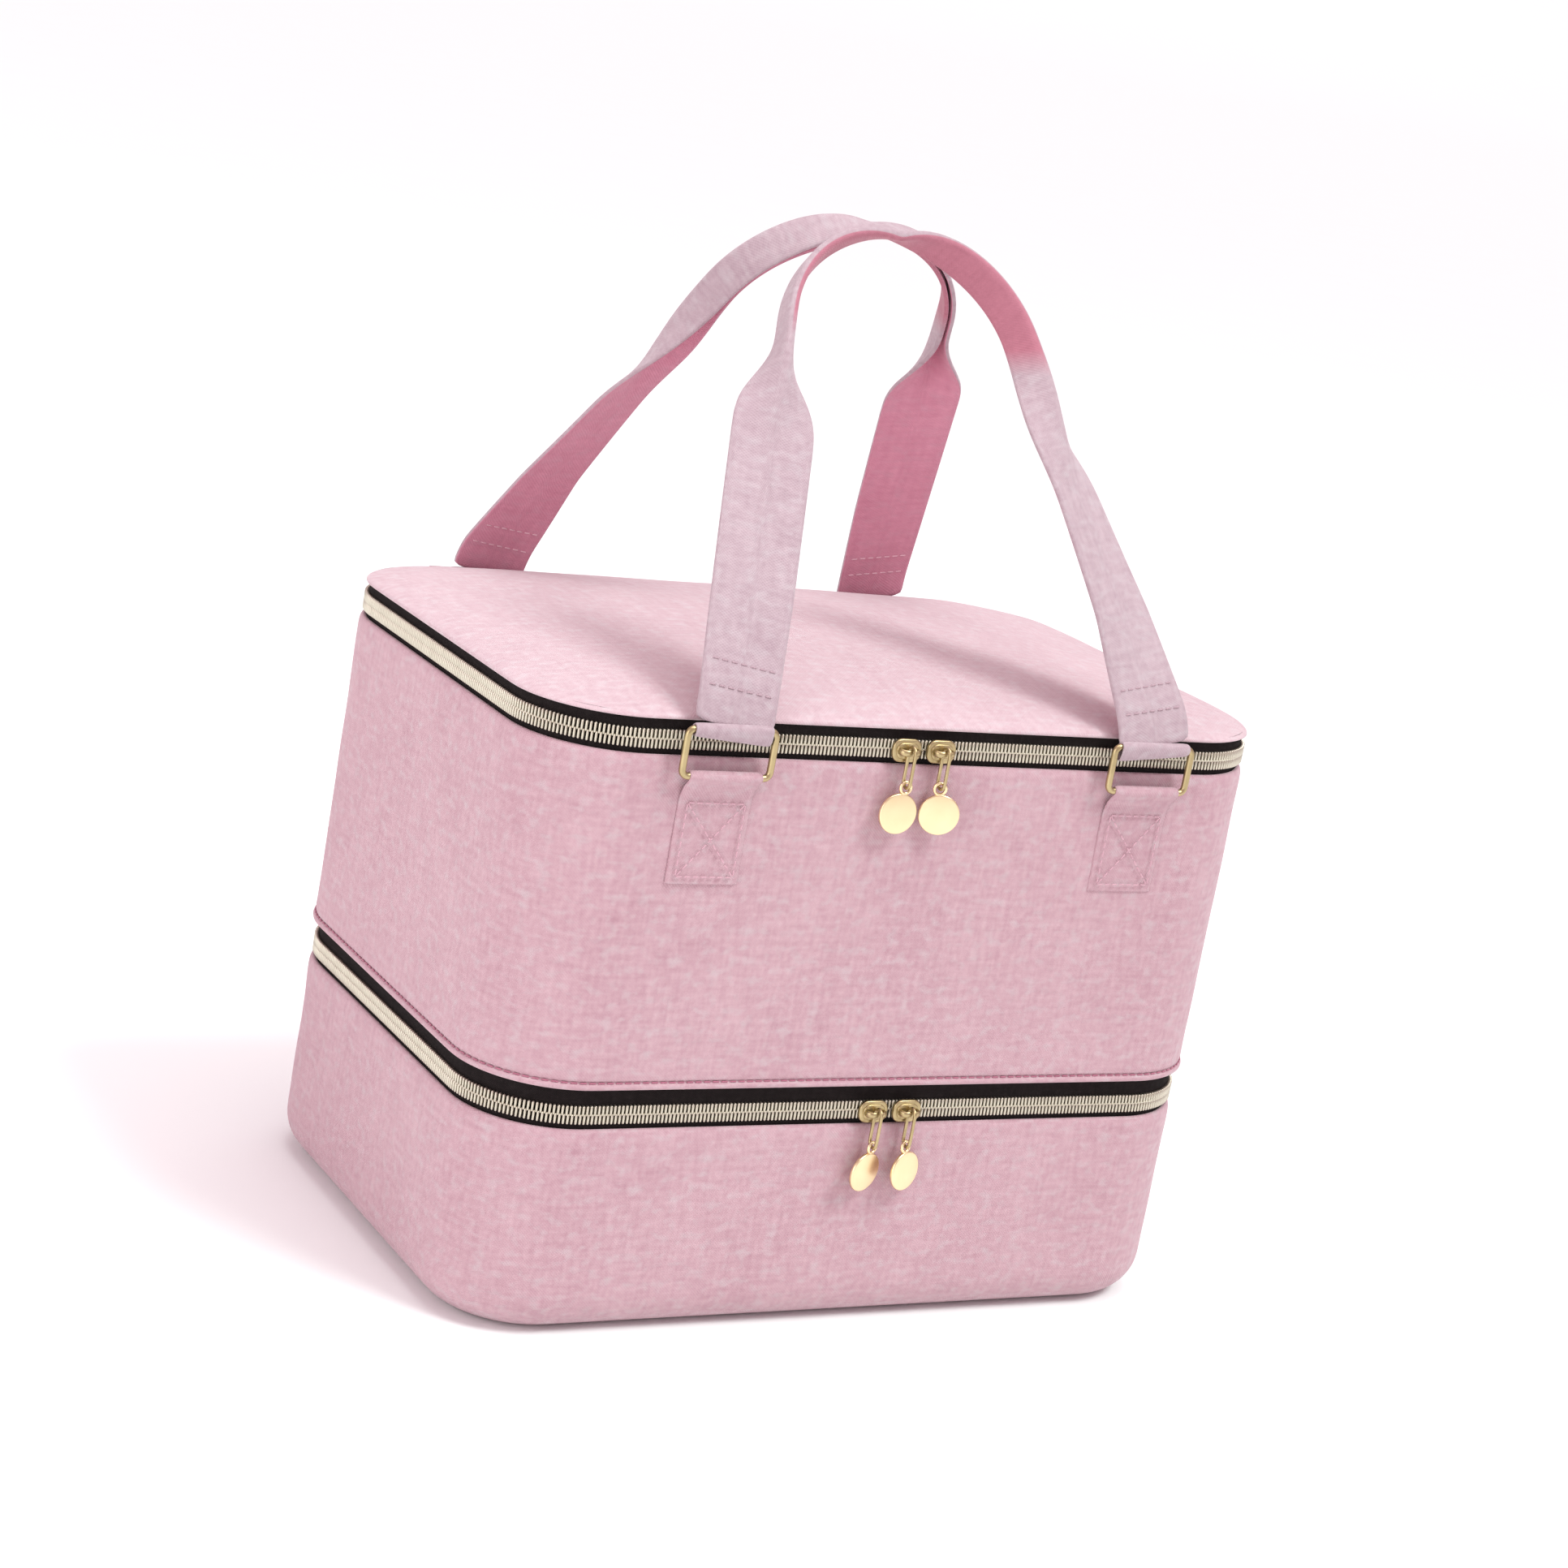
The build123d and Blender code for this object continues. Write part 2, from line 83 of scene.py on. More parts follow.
# %% Camera at the angle of the picture
look = Vector((0.49618, 0.83285, -0.24530)).normalized()
level_right = look.cross(Vector((0, 0, 1))).normalized()
level_down = look.cross(level_right)
roll = math.radians(10.27)
camera_right = level_right * math.cos(roll) - level_down * math.sin(roll)
camera_down = level_right * math.sin(roll) + level_down * math.cos(roll)
camera = bpy.data.objects.new("camera", bpy.data.cameras.new("camera"))
turn = Matrix((camera_right, -camera_down, -look)).transposed().to_4x4()
camera.matrix_world = Matrix.Translation(Vector((-0.6176, -1.0361, 0.4785))) @ turn
camera.data.sensor_width = 36.0
camera.data.lens = 76.2
bpy.context.scene.collection.objects.link(camera)
bpy.context.scene.camera = camera
print("camera at", [round(x, 3) for x in camera.location])

# %% [markdown]
# ## Light
# Soft studio light: a room that glows from all sides, a wide sun from the front right above that throws the
# strap shadows back over the lid, a lamp overhead that lifts the lid, and one from the left so that the
# short side doesn't sink. Shadows on pink cloth turn deeper pink, not grey, so the room is pink and the sun
# a little cool, and where both fall they make white. The plain view transform keeps the colours as they are.

# %% World and lamps
bpy.context.scene.view_settings.view_transform = "Standard"
world = bpy.data.worlds.new("studio")
world.use_nodes = True
world.node_tree.nodes["Background"].inputs["Color"].default_value = (1.0, 0.76, 0.83, 1.0)
world.node_tree.nodes["Background"].inputs["Strength"].default_value = 0.66
bpy.context.scene.world = world


def aimed(name, light, place, target):
    made = bpy.data.objects.new(name, light)
    aim = (Vector(target) - Vector(place)).to_track_quat("-Z", "Y")
    made.matrix_world = Matrix.Translation(Vector(place)) @ aim.to_matrix().to_4x4()
    bpy.context.scene.collection.objects.link(made)


def soft_lamp(name, size, power, place, target):
    light = bpy.data.lights.new(name, "AREA")
    light.size = size
    light.energy = power
    aimed(name, light, place, target)


sun = bpy.data.lights.new("key_sun", "SUN")
sun.energy = 1.9
sun.color = (0.9, 1.0, 0.97)
sun.angle = math.radians(20.0)
aimed("key_sun", sun, (0.5, -0.62, 1.15), (0, 0, 0))
soft_lamp("top_lamp", 1.4, 17.0, (0.1, 0.0, 1.9), (0, 0, 0.2))
soft_lamp("left_lamp", 1.2, 12.0, (-1.7, -0.6, 0.7), (0, 0, 0.12))

# %% [markdown]
# ## Shader sums as Python
# A material is a net of nodes. Written by hand, each sum takes a node and two links, which hides the idea.
# One small class wraps a socket and turns +, - and * into Math nodes, and one method adds any
# other node from its type, settings and inputs.


# %% Signals and nets
class Signal:
    """A shader socket that takes part in Python sums."""

    def __init__(self, net, socket):
        self.net = net
        self.socket = socket

    def maths(self, operation, first, second):
        return self.net.node("ShaderNodeMath", {"operation": operation}, {0: first, 1: second})[0]

    def __add__(self, other):
        return self.maths("ADD", self, other)

    def __sub__(self, other):
        return self.maths("SUBTRACT", self, other)

    def __rsub__(self, other):
        return self.maths("SUBTRACT", other, self)

    def __mul__(self, other):
        return self.maths("MULTIPLY", self, other)

    __radd__ = __add__
    __rmul__ = __mul__


class Net:
    """One material and its nodes."""

    def __init__(self, name, **fixed):
        self.material = bpy.data.materials.new(name)
        self.material.use_nodes = True
        self.tree = self.material.node_tree
        self.shader = self.tree.nodes["Principled BSDF"]
        for key, value in fixed.items():
            self.shader.inputs[key.replace("_", " ")].default_value = value

    def node(self, kind, settings, inputs):
        made = self.tree.nodes.new(kind)
        stops = settings.get("stops")
        for key, value in settings.items():
            if key != "stops":
                setattr(made, key, value)
        if stops:
            made.color_ramp.elements[0].position, made.color_ramp.elements[0].color = stops[0]
            made.color_ramp.elements[1].position, made.color_ramp.elements[1].color = stops[-1]
            for position, color in stops[1:-1]:
                made.color_ramp.elements.new(position).color = color
        for key, value in inputs.items():
            if isinstance(value, Signal):
                self.tree.links.new(value.socket, made.inputs[key])
            else:
                made.inputs[key].default_value = value
        return [Signal(self, socket) for socket in made.outputs]

    def feed(self, socket_name, signal):
        self.tree.links.new(signal.socket, self.shader.inputs[socket_name])

    def mix(self, share, first, second):
        return self.node("ShaderNodeMix", {"data_type": "RGBA"}, {0: share, 6: first, 7: second})[2]

    def grain(self, place, stretch, scale, detail=2.0):
        stretched = self.node("ShaderNodeMapping", {}, {"Vector": place, "Scale": stretch})[0]
        return self.node("ShaderNodeTexNoise", {}, {"Vector": stretched, "Scale": scale, "Detail": detail})[0]

    def bump(self, height, strength, distance):
        made = self.node("ShaderNodeBump", {}, {"Height": height, "Strength": strength, "Distance": distance})
        self.feed("Normal", made[0])


def rgba(red, green, blue):
    return (red, green, blue, 1.0)


print("shader helpers ready")

# %% [markdown]
# ## Canvas
# The cloth is a plain weave with mixed yarn: pale and rosy threads side by side, so close up it is
# streaked along and across, and from afar it looks like one soft pink. Each wall has a UV map in metres
# that runs round the case and up the wall, so the threads stay level. Long thin noise along each way gives
# the yarn its slubs, and two fine waves that take turns give the weave its bump.


# %% Woven cloth finish
def woven_cloth(name, pale, deep, fleck, pitch, slub, contrast, sheen=0.2, gloss=0.25, shade_paint=None):
    """A plain weave; the last argument, where given, paints a second colour over a part of the cloth as painted shade.
    """
    net = Net(name, Roughness=0.86, Specular_IOR_Level=gloss, Sheen_Weight=sheen, Sheen_Roughness=0.45)
    place = net.node("ShaderNodeUVMap", {"uv_map": "weave"}, {})[0]
    weft = net.grain(place, (1.0 / slub, 1.0 / pitch, 1.0), 0.55, 1.0)
    warp = net.grain(place, (1.0 / pitch, 1.0 / slub, 1.0), 0.55, 1.0)
    mottle = net.grain(place, (1.0, 1.0, 1.0), 0.5 / pitch, 2.0)
    cloud = net.grain(place, (1.0, 0.7, 1.0), 0.03 / pitch, 3.0)
    mixed = (weft + warp) * 0.38 + mottle * 0.44 + cloud * 0.36
    cloth = net.mix(mixed * contrast + (0.5 - 0.78 * contrast), deep, pale)
    spots = net.grain(place, (0.7, 1.0, 1.0), 0.3 / pitch, 2.0)
    spot_share = net.node("ShaderNodeMapRange", {}, {0: spots, 1: 0.5, 2: 0.75, 3: 0.0, 4: 0.6})[0]
    color = net.mix(spot_share, cloth, fleck)
    net.feed("Base Color", shade_paint(net, place, mixed, color) if shade_paint else color)
    split = net.node("ShaderNodeSeparateXYZ", {}, {0: place})
    along = net.node("ShaderNodeMath", {"operation": "SINE"}, {0: split[0] * (2 * math.pi / pitch)})[0]
    across = net.node("ShaderNodeMath", {"operation": "SINE"}, {0: split[1] * (2 * math.pi / pitch)})[0]
    net.bump(along * across * 0.5 + (weft + warp) * 0.5, 0.5, 0.00022)
    return net.material


wall_canvas = woven_cloth(
    "wall_canvas", rgba(0.6, 0.42, 0.458), rgba(0.412, 0.229, 0.274), rgba(0.538, 0.449, 0.472), 0.0011, 0.007, 1.3
)
# The lid is the wall's canvas painted paler and greyer: a painted highlight for the light and sheen on its top.
lid_canvas_painted_light = woven_cloth(
    "lid_canvas_painted_light", rgba(0.65, 0.53, 0.556), rgba(0.478, 0.318, 0.357), rgba(0.612, 0.56, 0.577), 0.0011, 0.007, 1.2
)
strap_backing = woven_cloth(
    "strap_backing", rgba(0.714, 0.343, 0.443), rgba(0.517, 0.198, 0.278), rgba(0.583, 0.312, 0.391), 0.0012, 0.012, 1.2
)
lining_cloth = woven_cloth(
    "lining_cloth", rgba(0.6, 0.53, 0.53), rgba(0.5, 0.43, 0.435), rgba(0.46, 0.4, 0.4), 0.0006, 0.02, 0.8
)
divider_felt = woven_cloth(
    "divider_felt", rgba(0.66, 0.6, 0.59), rgba(0.54, 0.47, 0.465), rgba(0.5, 0.44, 0.44), 0.0016, 0.003, 1.2
)
tape_weave = woven_cloth(
    "tape_weave", rgba(0.02, 0.016, 0.016), rgba(0.008, 0.006, 0.006), rgba(0.022, 0.018, 0.018), 0.0007, 0.006,
    1.2, sheen=0.0, gloss=0.08
)
print("cloths", [m.name for m in bpy.data.materials])

# %% [markdown]
# ## Gold, coil and thread
# The fittings are light gold plate, bright but not a mirror: fine scratches break the shine. The zip coil
# is plated plastic and duller. Thread is a twisted yarn, so a fine slanted wave runs over it.


# %% Plated metal and thread finishes
def plated(name, color, worn, rough, scratch):
    net = Net(name, Metallic=1.0)
    place = net.node("ShaderNodeTexCoord", {}, {})[3]
    broad = net.grain(place, (1.0, 1.0, 1.0), 180.0, 3.0)
    fine = net.grain(place, (1.0, 6.0, 1.0), 1500.0, 2.0)
    net.feed("Base Color", net.mix(broad * 0.7, color, worn))
    net.feed("Roughness", fine * scratch + (rough - scratch * 0.5))
    net.bump(fine, 0.18, 0.00005)
    return net.material


light_gold = plated("light_gold", rgba(0.93, 0.77, 0.49), rgba(0.82, 0.63, 0.36), 0.32, 0.16)
worn_gold = plated("worn_gold", rgba(0.6, 0.49, 0.27), rgba(0.24, 0.18, 0.085), 0.36, 0.2)
coil_plate = plated("coil_plate", rgba(0.66, 0.62, 0.52), rgba(0.5, 0.46, 0.37), 0.42, 0.2)


def spun_thread(name, color, shade):
    net = Net(name, Roughness=0.7, Sheen_Weight=0.2)
    place = net.node("ShaderNodeTexCoord", {}, {})[3]
    ply = net.node(
        "ShaderNodeTexWave", {"bands_direction": "DIAGONAL"}, {"Vector": place, "Scale": 900.0, "Distortion": 1.0}
    )[1]
    net.feed("Base Color", net.mix(ply, shade, color))
    net.bump(ply, 0.4, 0.0001)
    return net.material


rose_thread = spun_thread("rose_thread", rgba(0.46, 0.16, 0.23), rgba(0.34, 0.1, 0.16))
pink_thread = spun_thread("pink_thread", rgba(0.64, 0.4, 0.46), rgba(0.54, 0.31, 0.37))
pale_thread = spun_thread("pale_thread", rgba(0.78, 0.52, 0.58), rgba(0.64, 0.38, 0.45))
grey_thread = spun_thread("grey_thread", rgba(0.5, 0.36, 0.4), rgba(0.34, 0.22, 0.26))
print("metals and threads", light_gold.name, coil_plate.name, rose_thread.name, grey_thread.name)

# %% [markdown]
# ## Rings that grow
# Almost every soft piece here is a ring of points that is carried along: round the plan and up a wall, or
# along a strap. The operator extrude_edge_only copies a ring and joins it to the old one with quads. Two
# layers on the points, the way round and the way along, travel with it and become the UV map.


# %% Carrying a ring of points
def only_verts(geom):
    return [g for g in geom if isinstance(g, bmesh.types.BMVert)]


def rounded(bm, geom, offset, segments, affect="EDGES"):
    return bmesh.ops.bevel(
        bm, geom=geom, offset=offset, offset_type="OFFSET", segments=segments, profile=0.5, affect=affect, material=-1
    )


def face_out(bm):
    bmesh.ops.recalc_face_normals(bm, faces=bm.faces)


def ring_edges(bm, ring):
    return [bm.edges.get(pair) for pair in zip(ring, ring[1:] + ring[:1])]


def carry(bm, ring, places, step=0.0):
    """Extrudes a ring once and sets the new ring on the given places, in the same order."""
    along = bm.verts.layers.float["along"]
    made = bmesh.ops.extrude_edge_only(bm, edges=ring_edges(bm, ring))["geom"]
    fresh = set(only_verts(made))
    following = []
    for old, place in zip(ring, places):
        new = next(v for v in (e.other_vert(old) for e in old.link_edges) if v in fresh)
        new.co = place
        new[along] = old[along] + step
        following.append(new)
    return following


def fresh_mesh():
    bm = bmesh.new()
    bm.verts.layers.float.new("around")
    bm.verts.layers.float.new("along")
    return bm


def weave_map(bm, turn_length=0.0):
    """Writes the UV map from the two layers, and closes it where the way round starts again."""
    around = bm.verts.layers.float["around"]
    along = bm.verts.layers.float["along"]
    uv = bm.loops.layers.uv.new("weave")
    for face in bm.faces:
        start = max(v[around] for v in face.verts)
        for loop in face.loops:
            u = loop.vert[around]
            if turn_length and start - u > turn_length / 2:
                u += turn_length
            loop[uv].uv = (u, loop.vert[along])


def level_map(bm):
    """Lays the weave straight over faces that lie level, where the way round would fan out."""
    bm.normal_update()
    uv = bm.loops.layers.uv["weave"]
    for face in bm.faces:
        if abs(face.normal.z) > 0.6:
            for loop in face.loops:
                loop[uv].uv = (loop.vert.co.x, loop.vert.co.y)


def box_map(bm):
    """A UV map in metres for small boxy pieces, by the way each face looks."""
    uv = bm.loops.layers.uv.new("weave")
    for face in bm.faces:
        n = face.normal
        for loop in face.loops:
            p = loop.vert.co
            if abs(n.z) >= max(abs(n.x), abs(n.y)):
                loop[uv].uv = (p.x, p.y)
            elif abs(n.y) >= abs(n.x):
                loop[uv].uv = (p.x, p.z)
            else:
                loop[uv].uv = (p.y, p.z)


def smooth_object(name, bm, materials):
    mesh = bpy.data.meshes.new(name)
    bm.to_mesh(mesh)
    bm.free()
    mesh.polygons.foreach_set("use_smooth", [True] * len(mesh.polygons))
    made = bpy.data.objects.new(name, mesh)
    bpy.context.scene.collection.objects.link(made)
    for material in materials:
        mesh.materials.append(material)
    print(name, "faces", len(mesh.polygons))
    return made


def piece(name, bm, materials, body, slot, *nodes, levels=0):
    """Turns a bmesh into a piece that rides on a body and stands for its solids."""
    made = smooth_object(name, bm, materials)
    if levels:
        soft = made.modifiers.new("soft", "SUBSURF")
        soft.levels = soft.render_levels = levels
    if body:
        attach(made, body)
    if nodes:
        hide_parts(*nodes)
    return made


# %% [markdown]
# ## Plan of the case
# Seen from above the case is a rectangle with round corners. A one-face grid is scaled to size, its four
# corners are bevelled round, and its long sides are divided so that the cloth can ripple. A point's way
# outwards is the way from the straight core of the plan.

# %% Plan loop
half_length = 150.0 * mm
half_depth = 101.0 * mm
corner = 38.0 * mm


def outwards(point):
    core = Vector((half_length - corner, half_depth - corner))
    x = max(-core.x, min(core.x, point.x))
    y = max(-core.y, min(core.y, point.y))
    return Vector((point.x - x, point.y - y, 0.0)).normalized()


def plan_loop(bm, inset, height, edge_length, bends):
    """A closed ring of points on the plan, in order, with the way round in its layer."""
    made = bmesh.ops.create_grid(bm, x_segments=1, y_segments=1, size=1.0)["verts"]
    bmesh.ops.scale(bm, vec=(half_length - inset, half_depth - inset, 1.0), verts=made)
    bmesh.ops.translate(bm, vec=(0.0, 0.0, height), verts=made)
    rounded(bm, made, corner - inset, bends, "VERTICES")
    bmesh.ops.delete(bm, geom=list(bm.faces), context="FACES_ONLY")
    for edge in [e for e in bm.edges if e.calc_length() > 60 * mm]:
        bmesh.ops.subdivide_edges(bm, edges=[edge], cuts=round(edge.calc_length() / edge_length) - 1)
    bm.verts.ensure_lookup_table()
    around = bm.verts.layers.float["around"]
    ring = [bm.verts[0]]
    while len(ring) < len(bm.verts):
        nexts = [e.other_vert(ring[-1]) for e in ring[-1].link_edges]
        ring.append(next(v for v in nexts if v not in ring))
    face = [v.co + outwards(v.co) * inset for v in ring]
    for i in range(1, len(ring)):
        ring[i][around] = ring[i - 1][around] + (face[i] - face[i - 1]).length
    return ring


def plan_turn(ring, bm):
    around = bm.verts.layers.float["around"]
    return ring[-1][around] + (ring[-1].co - ring[0].co).length


def grow(bm, ring, profile):
    """Carries the plan ring through a profile of insets and heights, both in metres."""
    spots = [profile[0]]
    for inset, height in profile[1:]:
        last_in, last_up = spots[-1]
        move = [v.co - outwards(v.co) * (inset - last_in) + Vector((0, 0, height - last_up)) for v in ring]
        ring = carry(bm, ring, move, math.hypot(inset - last_in, height - last_up))
        spots.append((inset, height))
    return ring


def close_flat(bm, ring):
    bmesh.ops.contextual_create(bm, geom=ring_edges(bm, ring))


def close_level(bm, ring):
    """Fills a level ring with smaller and smaller ones, so that no long thin faces meet in the middle."""
    first = [v.co.copy() for v in ring]
    for size in (0.75, 0.5, 0.25, 0.08):
        ring = carry(bm, ring, [Vector((p.x * size, p.y * size, p.z)) for p in first])
    close_flat(bm, ring)


def closed_skin(profile, edge_length, bends, close):
    """One plan ring carried through a profile and closed at both ends, and the way round it."""
    bm = fresh_mesh()
    ring = plan_loop(bm, *profile[0], edge_length, bends)
    turn_length = plan_turn(ring, bm)
    close(bm, ring)
    close(bm, grow(bm, ring, profile))
    face_out(bm)
    return bm, turn_length


def quarter(centre_in, centre_up, radius, start, stop, steps):
    """Points of an arc in a wall's profile, angles in degrees from outwards to up."""
    spread = [math.radians(start + (stop - start) * i / steps) for i in range(steps + 1)]
    return [(centre_in - radius * math.cos(a), centre_up + radius * math.sin(a)) for a in spread]


def climb(inset, low, high, steps):
    return [(inset, low + (high - low) * i / steps) for i in range(steps + 1)]


def ripple(bm, depth, reach, low, high):
    """Small waves in a padded wall between two heights, none at its edges."""
    bm.normal_update()
    for v in bm.verts:
        share = (v.co.z - low) / (high - low)
        if 0.0 < share < 1.0:
            wave = noise.noise(v.co / reach) + 0.5 * noise.noise(v.co / (reach * 0.45))
            v.co += v.normal * depth * wave * min(1.0, 6 * share, 6 * (1 - share))


print("plan", 2 * half_length, "by", 2 * half_depth)

# %% [markdown]
# ## Tray and case walls
# Each tier is a padded canvas tub. Its profile starts under the floor, turns round the bottom edge, climbs
# the wall, rolls over the rim and comes down inside, so one carried ring makes a closed padded wall. The
# case also has a folded hem above the lower zip, a shade proud of the wall, with a seam above it.


# %% Padded walls
def padded_tub(name, profile, wave_low, wave_high, body, node):
    bm, turn_length = closed_skin(profile, 9 * mm, 14, close_level)
    ripple(bm, 0.55 * mm, 46 * mm, wave_low, wave_high)
    weave_map(bm, turn_length)
    level_map(bm)
    return piece(name, bm, [wall_canvas], body, "canvas", node, levels=1)


def metric(profile, level=0.0):
    return [(inset * mm, level + height * mm) for inset, height in profile]


tray_profile = [(30, 0), (22, 0)]
tray_profile += quarter(16, 16, 16, -90, 0, 9)
tray_profile += climb(0, 20, 72, 11)
tray_profile += [(0.1, 75), (0.5, 77), (1.4, 77.8), (2.4, 77.6), (3.2, 76.6), (3.4, 74)]
tray_profile += climb(3.45, 66, 16, 5) + [(6, 8), (12, 4.4), (22, 4.2), (30, 4.2)]
tray_wall = padded_tub("tray_wall", metric(tray_profile), 14 * mm, 73 * mm, "tray", "tray_shell")

case_profile = [(30, 92.2), (12, 92.2), (3, 92.2), (0.2, 92.3), (-0.7, 92.8), (-1.0, 93.5), (-0.9, 94.3)]
case_profile += [(-0.4, 94.8), (0.45, 95.0), (0.5, 95.3), (-0.1, 95.7), (-0.25, 97), (-0.1, 101)]
case_profile += climb(0, 108, 204, 15)
case_profile += [(0.05, 208), (0.3, 210.2), (1.0, 211.3), (2.0, 211.5), (2.9, 211), (3.4, 209)]
case_profile += climb(3.45, 200, 108, 6) + [(3.6, 100), (5, 96.4), (12, 96.1), (30, 96.1)]
case_wall = padded_tub("case_wall", metric(case_profile), 97 * mm, 207 * mm, "case", "case_shell")

# %% [markdown]
# ## Lid
# The lid is a padded cushion: a rolled edge that stands on the upper zip and a low crown that rises to the
# middle. After the roll, the rings are scaled towards the middle instead of set in, because an offset of
# the round corners would fold over itself. The padding is thinner at the corners, so they are lowered.

# %% Crowned lid
lid_edge = 223.4 * mm
lid_crown = 12.6 * mm


def lid_rise(share):
    """Height over the lid's edge at a share of the way from the roll to the middle."""
    return lid_crown * (0.31 + 0.69 * math.sin(share * math.pi / 2) ** 0.72)


def crowned_lid():
    bm = fresh_mesh()
    ring = plan_loop(bm, 14 * mm, lid_edge + 1.2 * mm, 9 * mm, 14)
    turn_length = plan_turn(ring, bm)
    close_flat(bm, ring)
    roll_profile = [(14, 1.2), (5, 0.5), (1.6, 0.1), (0.9, 0.5), (0.7, 1.1), (1.0, 1.8), (1.9, 2.5), (3.3, 3.1)]
    roll_profile += [(5.2, 3.6), (7.5, 4.0)]
    ring = grow(bm, ring, metric(roll_profile, lid_edge))
    first = [v.co.copy() for v in ring]
    steps = 16
    for i in range(1, steps):
        share = i / steps
        size = 1 - share
        height = lid_edge + lid_rise(share)
        ring = carry(bm, ring, [Vector((p.x * size, p.y * size, height)) for p in first], 6 * mm)
    close_flat(bm, ring)
    face_out(bm)
    for v in bm.verts:
        if v.co.z > lid_edge + 0.8 * mm and (abs(v.normal.z) < 0.5 or v.normal.z > 0):
            corner_share = min(1.0, 2.15 * (v.co.x / half_length) ** 4 * (v.co.y / half_depth) ** 4)
            v.co.z = lid_edge + (v.co.z - lid_edge) * (1 - 0.4 * corner_share)
        if v.co.z > lid_edge + 2.8 * mm:
            wave = noise.noise(v.co / (58 * mm)) + 0.5 * noise.noise(v.co / (27 * mm))
            v.co.z += 0.55 * mm * wave
    weave_map(bm, turn_length)
    level_map(bm)
    # The cushion wears the paler canvas, with painted highlight for its lit top.
    return piece("lid_cushion", bm, [lid_canvas_painted_light], "lid", "canvas", "lid_panel", levels=1)


lid_cushion = crowned_lid()

# %% [markdown]
# ## Linings and dividers
# Inside, a thin smooth lining covers wall and floor, and padded felt dividers stand in it to part the
# bottles. A lining is the same carried ring, out on one side and back on the other.


# %% Linings
def lining(name, profile, body, *nodes, close=close_level, levels=1):
    bm, turn_length = closed_skin(profile, 14 * mm, 10, close)
    weave_map(bm, turn_length)
    level_map(bm)
    return piece(name, bm, [lining_cloth], body, "lining_cloth", *nodes, levels=levels)


tray_inside = [(30, 4.6), (14, 4.7), (8.6, 7.4), (4.0, 13), (3.55, 18)] + climb(3.5, 30, 74, 4)
tray_inside += [(3.6, 76.2), (4.0, 76.4), (4.3, 76)] + climb(4.35, 72, 20, 5)
tray_inside += [(4.9, 14), (9.4, 8.6), (14, 7.0), (22, 6.8), (30, 6.8)]
lining("tray_inner_cloth", metric(tray_inside), "tray", "tray_lining", "tray_board")
case_inside = [(30, 96.4), (8, 96.4), (4.2, 97.2), (3.55, 100)] + climb(3.5, 110, 207, 6)
case_inside += [(3.6, 210), (4.0, 210.3), (4.3, 209.8)] + climb(4.35, 205, 110, 6)
case_inside += [(4.4, 101), (4.9, 99.2), (8, 98.8), (30, 98.8)]
lining("case_inner_cloth", metric(case_inside), "case", "case_lining", "case_board")
lid_inside = metric([(5.2, 0.2), (5.0, 0.6), (5.4, 1.0), (30, 1.1)], lid_edge)
lining("lid_inner_cloth", lid_inside, "lid", "lid_lining", close=close_flat, levels=0)

# %% Felt dividers
room_x = 2 * half_length - 8.6 * mm
room_y = 2 * half_depth - 8.6 * mm
divider_floor = 98.8 * mm
divider_top = 178.8 * mm


def sized_cube(bm, centre, size):
    made = bmesh.ops.create_cube(bm, size=1.0)["verts"]
    bmesh.ops.scale(bm, vec=size, verts=made)
    bmesh.ops.translate(bm, vec=centre, verts=made)
    return made


def divider_board(bm, centre, size):
    made = sized_cube(bm, centre, size)
    edges = [e for e in bm.edges if e.verts[0] in made]
    rounded(bm, edges, 1.2 * mm, 3)


divider_middle = (divider_floor + divider_top) / 2
divider_height = divider_top - divider_floor
bm = bmesh.new()
for i in range(1, 4):
    y = (i / 4 - 0.5) * room_y
    divider_board(bm, (0, y, divider_middle), (room_x - 0.4 * mm, 3 * mm, divider_height))
box_map(bm)
long_dividers = piece("long_felt_dividers", bm, [divider_felt], "case", "divider_cloth", "long_dividers")
bm = bmesh.new()
for i in range(1, 6):
    x = (i / 6 - 0.5) * room_x
    divider_board(bm, (x, 0, divider_middle), (2.8 * mm, room_y - 0.4 * mm, divider_height - 0.3 * mm))
box_map(bm)
cross_dividers = piece("cross_felt_dividers", bm, [divider_felt], "case", "divider_cloth", "cross_dividers")

# %% [markdown]
# ## Zips
# Both zips run round the left, front and right and end behind the rear corners, where cloth hinges take
# over. A black tape carries each half, and the plated coil shows as a row of small ribs that mesh in the
# middle. A rib is a bevelled cube set on each edge of a finely divided plan loop.

# %% Zip tapes and coils
hinge_end = 109.0 * mm
rib_pitch = 1.5 * mm
tray_zip = 83.0 * mm
lid_zip = 216.8 * mm


def open_rear(bm):
    """Cuts a closed band at the ends of the cloth hinge and takes its rear run away."""
    for x in (-hinge_end, hinge_end):
        geom = list(bm.verts) + list(bm.edges) + list(bm.faces)
        bmesh.ops.bisect_plane(bm, geom=geom, plane_co=(x, 0, 0), plane_no=(1, 0, 0), dist=1e-6)
    rear = [f for f in bm.faces if f.calc_center_median().y > 0 and abs(f.calc_center_median().x) < hinge_end]
    bmesh.ops.delete(bm, geom=rear, context="FACES")
    bmesh.ops.holes_fill(bm, edges=[e for e in bm.edges if e.is_boundary], sides=0)


def zip_tape(name, low, high, body, node):
    bm = fresh_mesh()
    ring = plan_loop(bm, 2.5 * mm, low, 12 * mm, 12)
    turn_length = plan_turn(ring, bm)
    last = grow(bm, ring, climb(2.5 * mm, low, high, 4) + climb(3.5 * mm, high, low, 4))
    bmesh.ops.bridge_loops(bm, edges=ring_edges(bm, ring) + ring_edges(bm, last))
    open_rear(bm)
    face_out(bm)
    weave_map(bm, turn_length)
    return piece(name, bm, [tape_weave], body, "zip_tape", node)


